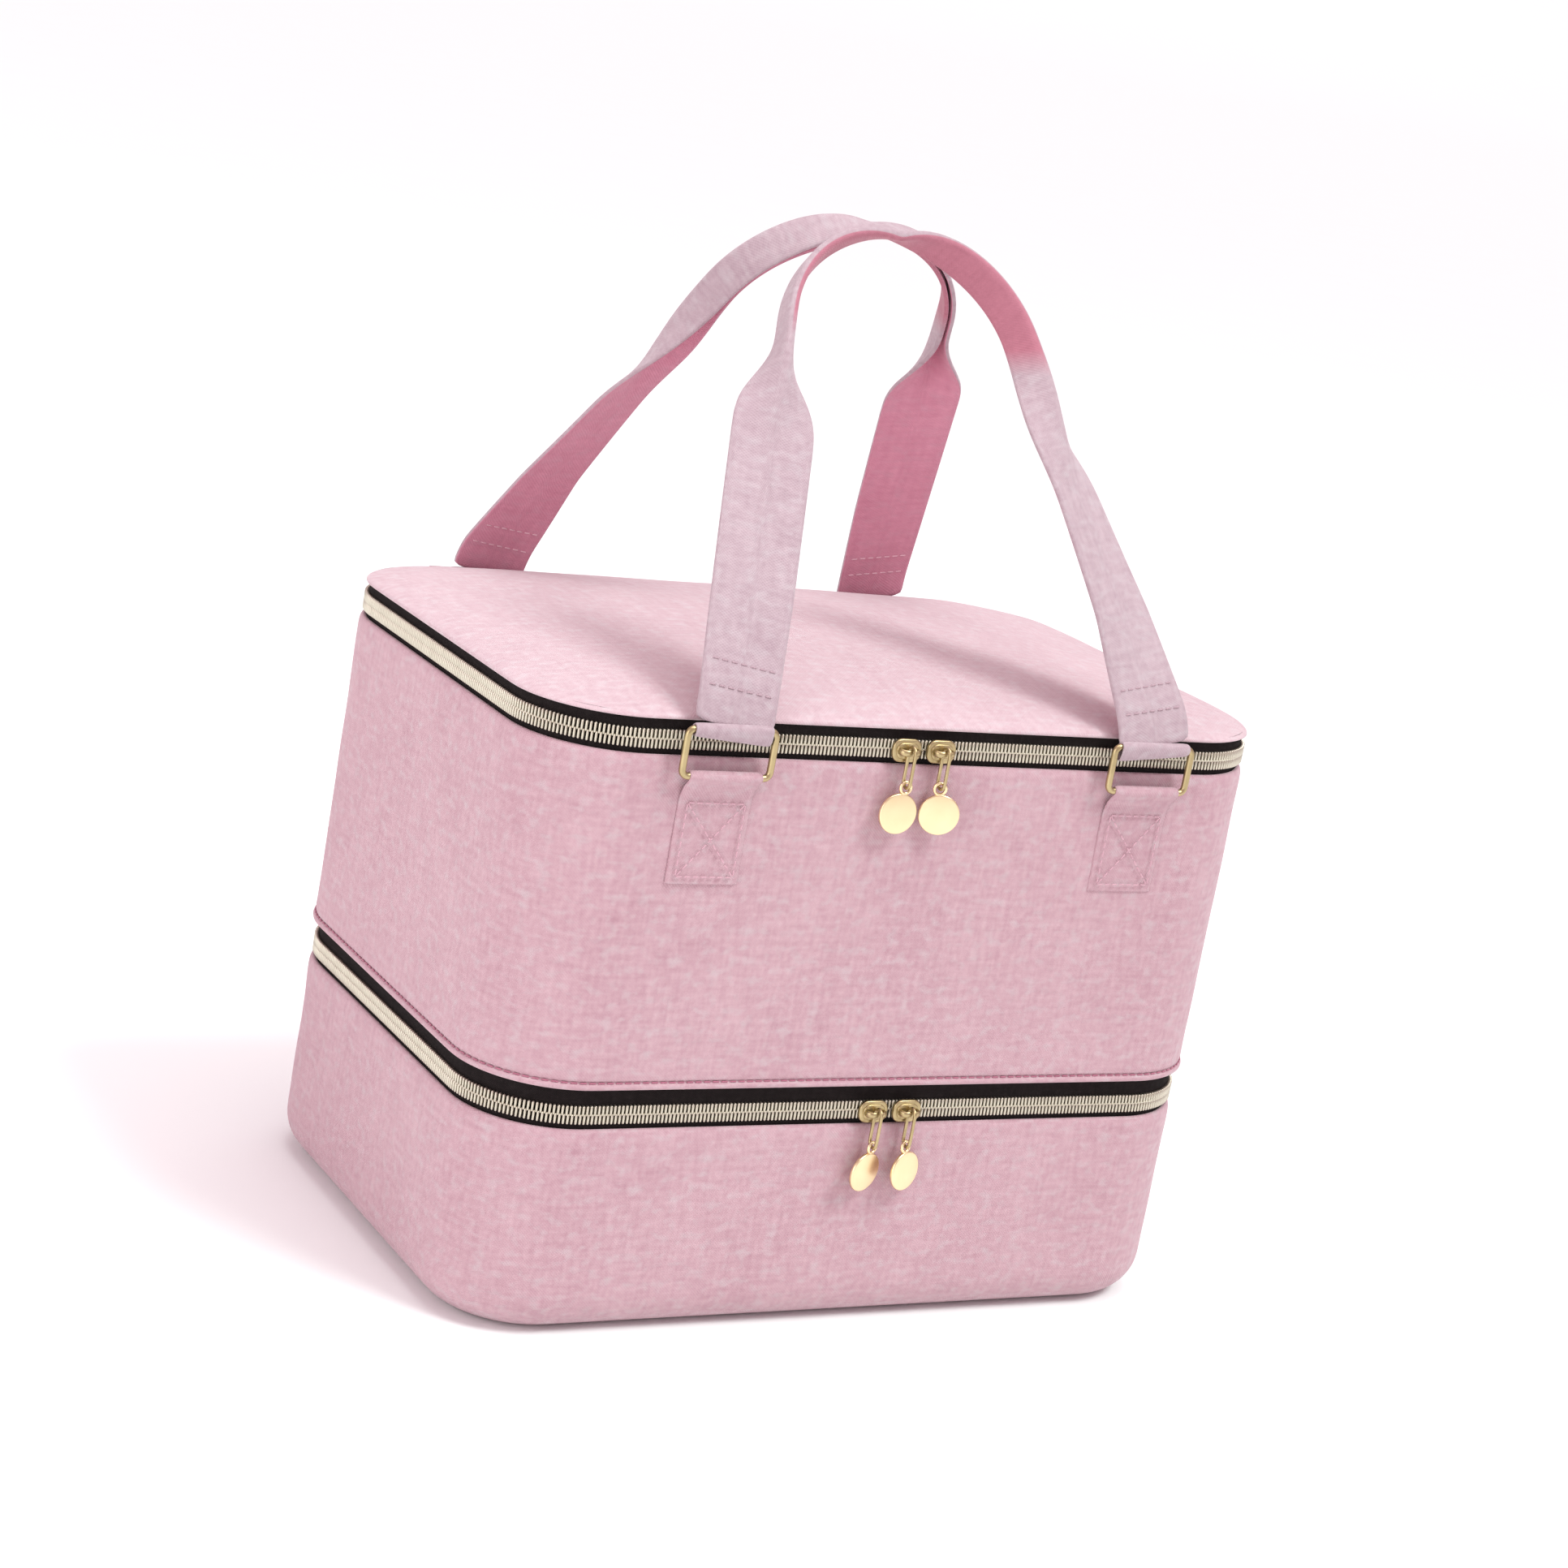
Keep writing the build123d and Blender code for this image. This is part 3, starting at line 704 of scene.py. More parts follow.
def on_plan_edges(inset, edge_length, bends):
    """Middle, direction and length of each edge of a divided plan loop, without the rear run."""
    bm = fresh_mesh()
    ring = plan_loop(bm, inset, 0.0, edge_length, bends)
    spots = []
    for a, b in zip(ring, ring[1:] + ring[:1]):
        middle = (a.co + b.co) / 2
        spots.append((middle, (b.co - a.co).normalized(), (b.co - a.co).length))
    bm.free()
    return spots


def small_block(bm, centre, along, out, size):
    axes = Matrix((along, out, out.cross(along))).transposed().to_4x4()
    place = Matrix.Translation(centre) @ axes @ Matrix.Diagonal((*size, 1.0))
    return bmesh.ops.create_cube(bm, size=1.0, matrix=place)["verts"]


def zip_coil(name, middle, side, body, node):
    """Half a coil: slim ribs from just over the middle line to the outer edge of the coil."""
    bm = bmesh.new()
    for place, along, length in on_plan_edges(1.7 * mm, rib_pitch, 39):
        if place.y > 0 and abs(place.x) < hinge_end + 2 * mm:
            continue
        shift = along * (length * 0.25 * side)
        centre = place + shift + Vector((0, 0, middle + side * 1.55 * mm))
        small_block(bm, centre, along, outwards(place), (length * 0.62, 1.7 * mm, 3.7 * mm))
    rounded(bm, list(bm.edges), 0.3 * mm, 1)
    face_out(bm)
    return piece(name, bm, [coil_plate], body, "zip_coil", node)


zip_bands = {
    "tray": (tray_zip, 72.0 * mm, 94.0 * mm, "tray", "case"),
    "lid": (lid_zip, 205.6 * mm, 225.2 * mm, "case", "lid"),
}
for tier, (middle, low, high, lower_body, upper_body) in zip_bands.items():
    zip_tape(f"{tier}_tape_low", low, middle - 0.5 * mm, lower_body, f"{tier}_zip_tape_lower")
    zip_tape(f"{tier}_tape_high", middle + 0.5 * mm, high, upper_body, f"{tier}_zip_tape_upper")
    zip_coil(f"{tier}_coil_low", middle, -1, lower_body, f"{tier}_zip_coil_lower")
    zip_coil(f"{tier}_coil_high", middle, 1, upper_body, f"{tier}_zip_coil_upper")

# %% [markdown]
# ## Cloth hinges
# At the rear a strip of the same canvas joins tray to case and case to lid. It is one sheet that bends, so
# it rides on both bodies: the points below the joint follow one, those above it the other, and those
# between turn smoothly.


# %% Hinge strips
def hinge_strip(name, low, high, axis, lower_body, upper_body, *nodes):
    bm = bmesh.new()
    made = bmesh.ops.create_grid(bm, x_segments=36, y_segments=14, size=0.5)["verts"]
    bmesh.ops.scale(bm, vec=(222 * mm, high - low, 1.0), verts=made)
    bmesh.ops.rotate(bm, verts=made, cent=(0, 0, 0), matrix=Matrix.Rotation(math.pi / 2, 3, "X"))
    bmesh.ops.translate(bm, verts=made, vec=(0, half_depth + 0.5 * mm, (low + high) / 2))
    for v in made:
        share = (v.co.z - low) / (high - low)
        v.co.y -= 1.3 * mm * math.exp(-(((v.co.z - axis) / (4 * mm)) ** 2))
        v.co.y += 0.2 * mm * noise.noise(v.co / (18 * mm)) * math.sin(share * math.pi)
    bmesh.ops.solidify(bm, geom=list(bm.faces), thickness=0.9 * mm)
    face_out(bm)
    box_map(bm)
    strip = piece(name, bm, [wall_canvas], None, "canvas", *nodes)
    reach = 6 * mm
    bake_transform(strip, lower_body, upper_body, start=(0, half_depth, axis - reach), end=(0, half_depth, axis + reach))
    return strip


hinge_strip("tray_hinge_cloth", 70 * mm, 97 * mm, tray_zip, "tray", "case", "tray_hinge_sleeve", "case_hinge_roll")
hinge_strip("lid_hinge_cloth", 204 * mm, 225 * mm, lid_zip, "case", "lid", "lid_hinge_sleeve", "lid_hinge_roll")

# %% [markdown]
# ## Rings
# Each handle hangs on two rings bent from round wire. A circle is drawn out along each side and spun round
# each corner, and the last circle closes on the first.

# %% Wire rings
ring_y = 105.46 * mm
ring_bar = 206.0 * mm
ring_top = 222.4 * mm
wire = 2.6 * mm
strap_width = 30.0 * mm
handle_x = 86.0 * mm


def last_ring(geom):
    return [g for g in geom if isinstance(g, (bmesh.types.BMVert, bmesh.types.BMEdge))]


def bent_wire(bm, centre, half_width, half_height, bend, radius):
    """A closed wire frame in the XZ plane with round corners."""
    start = Matrix.Translation(centre + Vector((0, 0, -half_height))) @ Matrix.Rotation(math.pi / 2, 4, "Y")
    ring = bmesh.ops.create_circle(bm, segments=14, radius=radius, matrix=start)["verts"]
    geom = ring + list({e for v in ring for e in v.link_edges})
    heading = Vector((1, 0, 0))
    runs = [half_width - bend, 2 * (half_height - bend), 2 * (half_width - bend), 2 * (half_height - bend)]
    runs.append(half_width - bend)
    place = centre + Vector((0, 0, -half_height))
    for number, run in enumerate(runs):
        edges = [g for g in geom if isinstance(g, bmesh.types.BMEdge)]
        made = bmesh.ops.extrude_edge_only(bm, edges=edges)["geom"]
        verts = only_verts(made)
        bmesh.ops.translate(bm, vec=heading * run, verts=verts)
        place = place + heading * run
        geom = verts + list({e for v in verts for e in v.link_edges if e.other_vert(v) in verts})
        if number < 4:
            inwards = Vector((-heading.z, 0, heading.x))
            spun = bmesh.ops.spin(
                bm, geom=geom, cent=place + inwards * bend, axis=(0, -1, 0), angle=math.pi / 2, steps=6
            )
            geom = last_ring(spun["geom_last"])
            place = place + (heading + inwards) * bend
            heading = inwards
    bmesh.ops.remove_doubles(bm, verts=list(bm.verts), dist=1e-5)
    face_out(bm)


ends = (("front", -1), ("rear", 1))
hands = (("left", -handle_x), ("right", handle_x))
ring_spots = [(end, f"{end}_{hand}", side, x) for end, side in ends for hand, x in hands]
for end, spot, side, x in ring_spots:
    bm = bmesh.new()
    middle = Vector((x, side * ring_y, (ring_bar + ring_top) / 2))
    bent_wire(bm, middle, strap_width / 2 + 1.7 * mm, (ring_top - ring_bar) / 2, 2.4 * mm, wire / 2)
    piece(f"{spot}_wire", bm, [worn_gold], f"{end}_rings", "gold_metal", f"{spot}_ring", levels=1)

# %% [markdown]
# ## Strap tabs
# A tab is a short strip of canvas folded over the lower bar of its ring and sewn flat to the wall. A strip
# one face wide is drawn up the wall, spun round the bar and brought down behind, and solidify gives it the
# thickness of the cloth. Stitches follow as small blocks.


# %% Folded tabs
def stitch_row(bm, start, end, out, length, gap, thick):
    way = end - start
    count = max(1, round(way.length / (length + gap)))
    for i in range(count):
        centre = start + way * ((i + 0.5) / count)
        small_block(bm, centre, way.normalized(), out, (length, thick, thick))


def round_stitches(bm):
    rounded(bm, list(bm.edges), 0.14 * mm, 1)
    face_out(bm)


tab_width = 28.0 * mm


def folded_tab(name, x, side, body, node):
    bm = bmesh.new()
    columns = 8
    y, z = side * (half_depth + 1.0 * mm), 167 * mm
    made = [bm.verts.new((x + tab_width * (i / columns - 0.5), y, z)) for i in range(columns + 1)]
    row = [bm.edges.new(pair) for pair in zip(made, made[1:])]
    path = [(1.0, 167.5), (1.0, 169)] + [(1.0, z) for z in range(174, 195, 5)]
    path += [(1.2, 197), (2.2, 200.5), (4.6, 203.2)]
    for out, height in path:
        grown = bmesh.ops.extrude_edge_only(bm, edges=row)["geom"]
        verts = only_verts(grown)
        for v in verts:
            v.co.y = side * (half_depth + out * mm)
            v.co.z = height * mm
        row = [e for e in grown if isinstance(e, bmesh.types.BMEdge) and all(v in verts for v in e.verts)]
    bar = Vector((0, side * ring_y, ring_bar))
    for v in verts:
        v.co.y = bar.y + side * 2.1 * mm * 0.72
        v.co.z = bar.z - 2.1 * mm * 0.72
    bmesh.ops.spin(bm, geom=verts + row, cent=bar, axis=(side, 0, 0), angle=math.radians(250), steps=12)
    face_out(bm)
    bmesh.ops.solidify(bm, geom=list(bm.faces), thickness=1.5 * mm)
    face_out(bm)
    box_map(bm)
    return piece(name, bm, [wall_canvas], body, "canvas", node, levels=1)


def tab_stitches(name, x, side, body):
    bm = bmesh.new()
    y = side * (half_depth + 1.85 * mm)
    low, high, half = 170 * mm, 196 * mm, tab_width / 2 - 3 * mm
    corners = [Vector((x + u * half, y, z)) for u, z in ((-1, low), (1, low), (1, high), (-1, high))]
    out = Vector((0, side, 0))
    for a, b in ((0, 1), (1, 2), (2, 3), (3, 0), (0, 2), (1, 3)):
        stitch_row(bm, corners[a], corners[b], out, 2.2 * mm, 1.0 * mm, 0.45 * mm)
    round_stitches(bm)
    return piece(name, bm, [pink_thread], body, "canvas")


for end, spot, side, x in ring_spots:
    tab = folded_tab(f"{spot}_sewn_tab", x, side, "case", f"{spot}_tab")
    tab_stitches(f"{spot}_tab_thread", x, side, "case")

# %% [markdown]
# ## Handle straps
# Each handle is one length of webbing: canvas outside, a rose backing inside. It stands up from the rings,
# leans over the lid in two straight legs, turns its face outwards as it climbs, and is folded lengthwise
# for the grip, so the two grips lie side by side in the hand. The strap is modelled directly: a section is
# carried along the arch, flat at first and folded like a closing book higher up.

# %% Arch of the strap
strap = 1.7 * mm
stand = 12.0 * mm
tilt = math.radians(15.0)
arch_radius = 50.0 * mm
left_turn = math.radians(10.0)
right_turn = math.radians(30.0)
left_fold = (86.0 * mm, 44.0 * mm)
right_fold = (98.0 * mm, 34.0 * mm)
fold_most = math.radians(88.0)
spine = strap + 0.1 * mm
panel = strap_width / 2 - spine
leg = (handle_x - arch_radius * math.cos(tilt)) / math.sin(tilt)
arch_height = stand + leg * math.cos(tilt) + arch_radius * (1 - math.sin(tilt))
lean = math.asin(99.86 * mm / (arch_height - stand))
eased = stand + 40 * mm * math.cos(tilt)


def strap_axes(x, rise, heading, bend):
    """Centre, sideways and outward direction of the strap at a place on the arch."""
    past = max(rise - stand, 0.0)
    up = Vector((0, math.sin(bend), math.cos(bend)))
    outward = Vector((0, -math.cos(bend), math.sin(bend)))
    along = Vector((1, 0, 0)) * math.sin(heading) + up * math.cos(heading)
    climbed = min(past / (leg * math.cos(tilt)), 1.0)
    top = max(1 - abs(math.cos(heading)) / math.cos(tilt), 0.0) ** 2
    leg_turn = left_turn if heading < math.pi / 2 else right_turn
    angle = leg_turn * climbed * (2 - climbed) * (1 - top) - bend * top
    face = outward * math.cos(angle) + outward.cross(along) * math.sin(angle)
    centre = Vector((x, past * math.sin(lean) - ring_y, ring_top + min(rise, stand) + past * math.cos(lean)))
    if rise < eased:
        free = eased - stand
        end = Vector((free * math.tan(tilt), free * math.sin(lean), stand + free * math.cos(lean)))
        pull = end * (rise / eased)
        chord = Vector((math.copysign(handle_x - pull.x, x), pull.y - ring_y, ring_top + pull.z))
        centre = centre.lerp(chord, 0.6)
    return centre, face.cross(along), face


def strap_outline(rise, heading):
    """Points of the folded section, outer face first; the leg that turns less is pinched sooner."""
    start, stop = left_fold if heading < math.pi / 2 else right_fold
    share = (rise - arch_height + start) / (start - stop)
    share = min(max(share, 0.0), 1.0)
    fold = fold_most * share * share * (3 - 2 * share)
    lift = panel / 2 * math.sin(fold) + strap / 2
    outer, inner = [], []
    for part in (0.0, 0.35, 0.7, 0.94, 1.0):
        u = spine + panel * part * math.cos(fold)
        v = lift - panel * part * math.sin(fold)
        outer.append((u, v))
        thin = strap * math.tan(fold / 2) * (1 - part) + strap * math.sin(fold) * part
        deep = strap * (1 - part) + strap * math.cos(fold) * part
        inner.append((u - thin, v - deep))
    right = list(reversed(outer)) + [(0.0, lift)] + [(-u, v) for u, v in outer]
    left = [(-u, v) for u, v in reversed(inner)] + [(0.0, lift - strap)] + inner
    return right, left


def strap_stations():
    spots = []
    leg_steps, top_steps = 34, 22
    for i in range(leg_steps):
        gone = (leg + stand) * i / leg_steps - stand
        rise = stand + (gone * math.cos(tilt) if gone > 0 else gone) + 0.6 * mm * (i == 0)
        share = min(rise / eased, 1.0)
        x = max(gone, 0.0) * math.sin(tilt) - handle_x
        spots.append((x, rise, tilt * (0.5 + 0.5 * share), lean * (0.4 + 0.6 * share)))
    for i in range(top_steps + 1):
        heading = tilt + (math.pi / 2 - tilt) * i / top_steps
        rise = arch_height - arch_radius * (1 - math.sin(heading))
        spots.append((-arch_radius * math.cos(heading), rise, heading, lean))
    return spots + [(-x, rise, math.pi - heading, bend) for x, rise, heading, bend in reversed(spots[:-1])]


def half_turn(points):
    """The places of the front handle, turned half round the case for the rear one."""
    return [Vector((-p.x, -p.y, p.z)) for p in points]


strap_line = [strap_axes(*spot)[0] for spot in strap_stations()]
strap_length = sum((b - a).length for a, b in zip(strap_line, strap_line[1:]))
print("strap", round(strap_length, 4), "leg", round(leg, 4), "arch", round(arch_height, 4))

# %% [markdown]
# ## Cloth of the strap
# Outside, the strap is a paler canvas than the wall. Over one half of the grip, from just above the pinched neck
# of one leg to the middle of the other, a dusty rose is painted in: painted shade for the side of the folded grip
# that turns away from the sun. The UV map runs across and along the strap in metres, so the painted shade is a band in
# it with soft slanted ends.


# %% Strap canvas with painted shade on the grip
def grip_painted_shade(net, place, mixed, color):
    across, along = net.node("ShaderNodeSeparateXYZ", {}, {0: place})[:2]
    middle, reach, soft = strap_length / 2 + 3 * mm, 71 * mm, 5 * mm
    from_middle = net.node("ShaderNodeMath", {"operation": "ABSOLUTE"}, {0: along - middle})[0]
    slanted = from_middle + across * 0.5 - strap_width * 0.375
    shaded_band = net.node("ShaderNodeMapRange", {}, {0: slanted, 1: reach - soft, 2: reach + soft, 3: 1.0, 4: 0.0})[0]
    start, stop = strap_width / 2 - 0.4 * mm, strap_width / 2 + 0.4 * mm
    below = net.node("ShaderNodeMapRange", {}, {0: across, 1: start, 2: stop, 3: 0.0, 4: 1.0})[0]
    # Painted shade: a dusty rose over one half of the grip, where the folded grip turns away from the sun.
    rose = net.mix(mixed, rgba(0.31, 0.105, 0.145), rgba(0.48, 0.19, 0.245))
    return net.mix(shaded_band * below, color, rose)


strap_yarns = (rgba(0.516, 0.416, 0.449), rgba(0.353, 0.249, 0.287), rgba(0.498, 0.44, 0.464), 0.0011, 0.007, 1.4)
strap_canvas = woven_cloth("strap_canvas", *strap_yarns)
# This cloth carries the painted shade band on the grip.
shaded_grip_canvas = woven_cloth("shaded_grip_canvas", *strap_yarns, shade_paint=grip_painted_shade)
print("strap cloths", strap_canvas.name, shaded_grip_canvas.name)


# %% Folded webbing
def webbing(bm, turned):
    around = bm.verts.layers.float["around"]
    ring, last = [], None
    backing = set()
    for spot in strap_stations():
        centre, sideways, face = strap_axes(*spot)
        right, left = strap_outline(spot[1], spot[2])
        places = [centre + sideways * u + face * v for u, v in right + left]
        if turned:
            places = half_turn(places)
        if not ring:
            ring = [bm.verts.new(p) for p in places]
            for i, v in enumerate(ring):
                across = i if i < len(right) else len(right) + len(left) - 1 - i
                v[around] = strap_width * across / (len(right) - 1)
            for pair in zip(ring, ring[1:] + ring[:1]):
                bm.edges.new(pair)
            bm.faces.new(ring)
        else:
            before = set(bm.faces)
            ring = carry(bm, ring, places, (centre - last).length)
            for f in set(bm.faces) - before:
                low = [v for v in f.verts if v in ring]
                index = sorted(ring.index(v) for v in low)
                if index[0] >= len(right) and index[-1] - index[0] == 1:
                    backing.add(f)
        last = centre
    bm.faces.new(ring)
    for f in backing:
        f.material_index = 1


def ring_wrap(bm, x, turned):
    """The end of the strap loops round the upper bar and hangs lower on the side it is pulled to."""
    side = 1 if turned else -1
    columns = 6
    start = Vector((x - strap_width / 2, side * (ring_y + 2.2 * mm), ring_top))
    step = Vector((strap_width / columns, 0, 0))
    row = [bm.verts.new(start + step * i) for i in range(columns + 1)]
    geom = row + [bm.edges.new(pair) for pair in zip(row, row[1:])]
    before = set(bm.verts) - set(row)
    middle = (x, side * ring_y, ring_top)
    slack = 0.4 if turned else 1.3
    bmesh.ops.spin(bm, geom=geom, cent=middle, axis=(1, 0, 0), angle=2 * math.pi, steps=20, use_merge=True)
    for v in set(bm.verts) - before:
        if v.co.z < ring_top:
            inner = 0.5 - (abs(v.co.x) - handle_x) / strap_width
            v.co.z = ring_top - (ring_top - v.co.z) * (1.2 + slack * inner)


def handle(name, turned, body, node):
    bm = fresh_mesh()
    webbing(bm, turned)
    face_out(bm)
    weave_map(bm)
    # The outer face wears the cloth with the painted shade on the grip, and the inner face wears the rose backing.
    made = piece(name, bm, [shaded_grip_canvas, strap_backing], body, "canvas", node, levels=1)
    wrap = bmesh.new()
    for x in (-handle_x, handle_x):
        ring_wrap(wrap, x, turned)
    face_out(wrap)
    bmesh.ops.solidify(wrap, geom=list(wrap.faces), thickness=1.0 * mm)
    face_out(wrap)
    box_map(wrap)
    piece(name + "_loops", wrap, [strap_canvas], body, "canvas", levels=1)
    return made


handle("front_webbing", False, "front_handle", "front_strap")
handle("rear_webbing", True, "rear_handle", "rear_strap")

# %% [markdown]
# ## Seams that show
# Two rows of stitches hold each strap end over its ring, and a row runs round the case above the hem. The
# thread is a shade darker than the cloth, so it reads as a broken line.


# %% Strap end stitches and hem seam
def strap_end_stitches(name, turned, layer, thread, body):
    """Two rows across each strap end, on the outer face for layer 1 and the inner for layer -1."""
    bm = bmesh.new()
    stations = strap_stations()
    rows = [min(stations, key=lambda spot: abs(spot[1] - row) + (spot[0] > 0)) for row in (12 * mm, 22 * mm)]
    for x, rise, heading, bend in rows:
        for spot in ((x, rise, heading, bend), (-x, rise, math.pi - heading, bend)):
            centre, sideways, face = strap_axes(*spot)
            level = face * layer * (strap / 2 + 0.12 * mm)
            reach = sideways * (strap_width / 2 - 2.5 * mm)
            a, b, out = centre + level - reach, centre + level + reach, face * layer
            if turned:
                a, b, out = half_turn((a, b, out))
            stitch_row(bm, a, b, out, 2.3 * mm, 1.1 * mm, 0.5 * mm)
    round_stitches(bm)
    return piece(name, bm, [thread], body, "canvas")


for end, turned in (("front", False), ("rear", True)):
    strap_end_stitches(f"{end}_outer_thread", turned, 1, grey_thread, f"{end}_handle")
    strap_end_stitches(f"{end}_inner_thread", turned, -1, pale_thread, f"{end}_handle")

bm = bmesh.new()
for place, along, length in on_plan_edges(-0.15 * mm, 3.4 * mm, 18):
    centre = Vector((place.x, place.y, 95.15 * mm))
    small_block(bm, centre, along, outwards(place), (length * 0.72, 0.5 * mm, 0.5 * mm))
round_stitches(bm)
piece("hem_thread", bm, [rose_thread], "case", "canvas")

# %% [markdown]
# ## Zip pulls
# Each slider is a small plated casting with a bail, an oval link hangs on the bail, and a plain disc hangs
# on the link. The castings are cubes with generous bevels; link and bail are bent wire; the disc is a
# circle drawn out and bevelled at the rim, with a ring of wire as its eye.

# %% Sliders, links and discs
slider_face = -102.4 * mm
bail_y = -105.63 * mm
link_turn = 2.28 * mm
link_drop = 10.0 * mm + link_turn
splay = math.radians(8.474)


def depth_run(edge):
    return abs((edge.verts[0].co - edge.verts[1].co).y)


def bevelled_block(bm, centre, size, corner_bevel, edge_bevel):
    made = sized_cube(bm, centre, size)
    upright = [e for e in {e for v in made for e in v.link_edges} if depth_run(e) > 1e-6]
    turned = rounded(bm, upright, corner_bevel, 5)
    faces = set(turned["faces"]) | {f for v in turned["verts"] for f in v.link_faces}
    rim = [e for e in {e for f in faces for e in f.edges} if depth_run(e) < 1e-7]
    rounded(bm, rim, edge_bevel, 3)


def wire_run(bm, places, radius, segments=10):
    """Round wire through a few places, each circle turned to the way the wire goes."""
    ring = None
    for i, p in enumerate(places):
        way = places[min(i + 1, len(places) - 1)] - places[max(i - 1, 0)]
        spot = Matrix.Translation(p) @ way.to_track_quat("Z", "X").to_matrix().to_4x4()
        turns = [2 * math.pi * k / segments for k in range(segments)]
        circle = [spot @ Vector((radius * math.cos(a), radius * math.sin(a), 0)) for a in turns]
        if ring is None:
            ring = [bm.verts.new(c) for c in circle]
            for pair in zip(ring, ring[1:] + ring[:1]):
                bm.edges.new(pair)
            bm.faces.new(ring)
        else:
            ring = carry(bm, ring, circle)
    bm.faces.new(ring)


def slider(name, x, z, body, node):
    bm = fresh_mesh()
    bevelled_block(bm, (x, slider_face + 0.9 * mm, z), (11.5 * mm, 1.8 * mm, 8.4 * mm), 3.4 * mm, 0.6 * mm)
    bevelled_block(bm, (x, slider_face - 0.1 * mm, z), (8.8 * mm, 0.9 * mm, 5.8 * mm), 2.5 * mm, 0.4 * mm)
    bevelled_block(bm, (x, -96.5 * mm, z), (11.5 * mm, 1.4 * mm, 8.4 * mm), 3.4 * mm, 0.4 * mm)
    bevelled_block(bm, (x, -98.9 * mm, z), (4.0 * mm, 3.6 * mm, 0.6 * mm), 0.2 * mm, 0.05 * mm)
    plates = set(bm.verts)
    deep = slider_face + 0.4 * mm
    arch = [(-3.6, deep), (-3.5, bail_y + 1.3 * mm), (-2.9, bail_y + 0.4 * mm), (-1.9, bail_y), (1.9, bail_y)]
    arch += [(2.9, bail_y + 0.4 * mm), (3.5, bail_y + 1.3 * mm), (3.6, deep)]
    wire_run(bm, [Vector((x + u * mm, y, 0)) for u, y in arch], 0.7 * mm)
    bridge = list(set(bm.verts) - plates)
    bmesh.ops.scale(bm, vec=(1, 1, 1.7), verts=bridge)
    bmesh.ops.translate(bm, vec=(0, 0, z), verts=bridge)
    face_out(bm)
    return piece(name, bm, [worn_gold], body, "gold_metal", node)


def oval_link(name, x, z, body, node):
    bm = bmesh.new()
    bent_wire(bm, Vector((0, 0, 0)), link_turn, 5.0 * mm + link_turn, link_turn * 0.999, 0.65 * mm)
    bmesh.ops.rotate(bm, verts=list(bm.verts), cent=(0, 0, 0), matrix=Matrix.Rotation(math.pi / 2, 3, "Z"))
    bmesh.ops.translate(bm, verts=list(bm.verts), vec=(x, bail_y, z - 5.0 * mm))
    return piece(name, bm, [worn_gold], body, "gold_metal", node, levels=1)


disc_radius = 7.35 * mm
disc_thick = 1.4 * mm
disc_bevel = 0.45 * mm
disc_hang = 9.4 * mm
eye_radius = 2.05 * mm
eye_wire = 0.6 * mm


def pull_disc(name, x, z, side, face_turn, body, node):
    bm = bmesh.new()
    upright = Matrix.Rotation(math.pi / 2, 4, "X")
    plate = bmesh.ops.create_circle(bm, cap_ends=True, segments=48, radius=disc_radius, matrix=upright)["verts"]
    bmesh.ops.translate(bm, verts=plate, vec=(0, disc_thick / 2, -disc_hang))
    grown = bmesh.ops.extrude_face_region(bm, geom=list(bm.faces))["geom"]
    bmesh.ops.translate(bm, verts=only_verts(grown), vec=(0, -disc_thick, 0))
    face_out(bm)
    rim = [e for e in bm.edges if depth_run(e) < 1e-7]
    rounded(bm, rim, disc_bevel, 3)
    section = Matrix.Translation((eye_radius, 0, 0)) @ upright @ upright
    eye = bmesh.ops.create_circle(bm, segments=10, radius=eye_wire, matrix=section)["verts"]
    geom = eye + list({e for v in eye for e in v.link_edges})
    bmesh.ops.spin(bm, geom=geom, cent=(0, 0, 0), axis=(0, 1, 0), angle=2 * math.pi, steps=24, use_merge=True)
    face_out(bm)
    hang = Matrix.Translation((x, bail_y, z - link_drop)) @ Matrix.Rotation(-side * splay, 4, "Y")
    bmesh.ops.transform(bm, matrix=hang @ Matrix.Rotation(face_turn, 4, "Z"), verts=list(bm.verts))
    return piece(name, bm, [light_gold], body, "gold_metal", node)


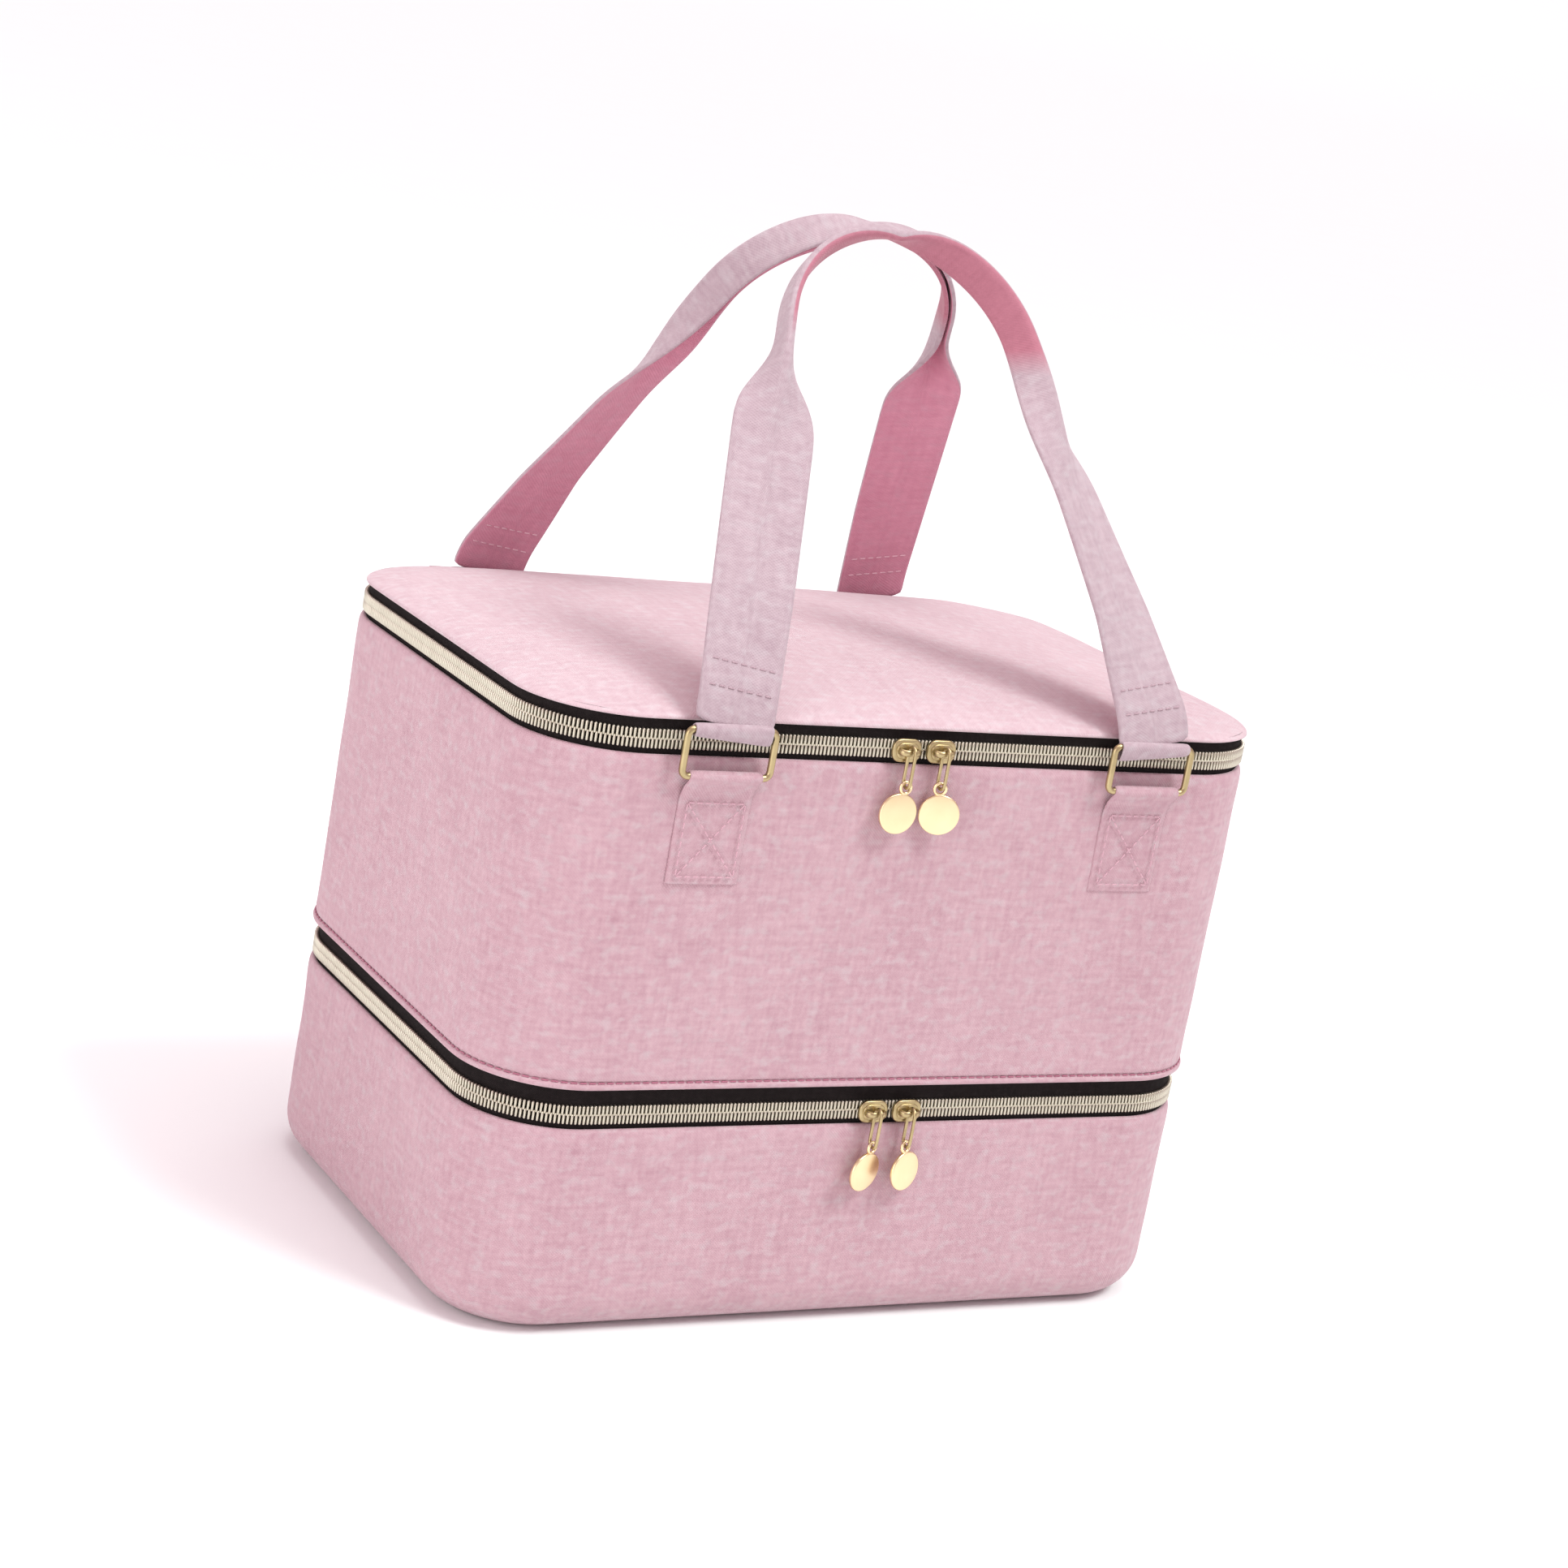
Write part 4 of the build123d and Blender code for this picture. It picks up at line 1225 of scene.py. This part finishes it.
disc_turn = math.radians(20.0)
pulls = {
    "lid": (lid_zip, {"left": (-15.0 * mm, 0.0), "right": (-1.0 * mm, -disc_turn)}),
    "tray": (tray_zip, {"left": (-0.5 * mm, disc_turn), "right": (13.5 * mm, disc_turn)}),
}
for tier, (z, places) in pulls.items():
    for hand, (x, face_turn) in places.items():
        side = -1 if hand == "left" else 1
        slider(f"{tier}_{hand}_slider_cast", x, z, f"{tier}_slider_{hand}", f"{tier}_slider_{hand}")
        oval_link(f"{tier}_{hand}_oval", x, z, f"{tier}_link_{hand}", f"{tier}_link_{hand}")
        pull_disc(f"{tier}_{hand}_coin", x, z, side, face_turn, f"{tier}_disc_{hand}", f"{tier}_disc_{hand}")

# %% [markdown]
# ## Floor
# A plain pale floor, as a wide dish that rises gently far away on all sides, so that no horizon line crosses
# a picture: the edges of a grid are drawn out and up, and the folds are bevelled round. It is a touch green,
# because the room light is pink for the shadows on the cloth, and the two make white.

# %% Pale floor
net = Net("pale_floor", Roughness=0.95, Specular_IOR_Level=0.1)
place = net.node("ShaderNodeTexCoord", {}, {})[3]
net.feed("Base Color", net.mix(net.grain(place, (1, 1, 1), 9.0), rgba(0.93, 0.975, 0.96), rgba(0.95, 0.99, 0.98)))
bm = bmesh.new()
bmesh.ops.create_grid(bm, x_segments=1, y_segments=1, size=20.0)
folds = list(bm.edges)
grown = bmesh.ops.extrude_edge_only(bm, edges=folds)["geom"]
rim = only_verts(grown)
bmesh.ops.scale(bm, vec=(2.0, 2.0, 1.0), verts=rim)
bmesh.ops.translate(bm, vec=(0, 0, 5.0), verts=rim)
folds += [e for e in bm.edges if abs(e.verts[0].co.z - e.verts[1].co.z) > 1.0]
rounded(bm, folds, 5.0, 12)
floor = smooth_object("floor", bm, [net.material])
floor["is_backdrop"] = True

# %% [markdown]
# ## Size of the dressed model
# The dressed case is meant to keep the size of the solids, so the box of everything shown is printed before the close.

# %% Box and close
bpy.context.view_layer.update()
low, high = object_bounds()
print("visual", [round(b - a, 4) for a, b in zip(low, high)])
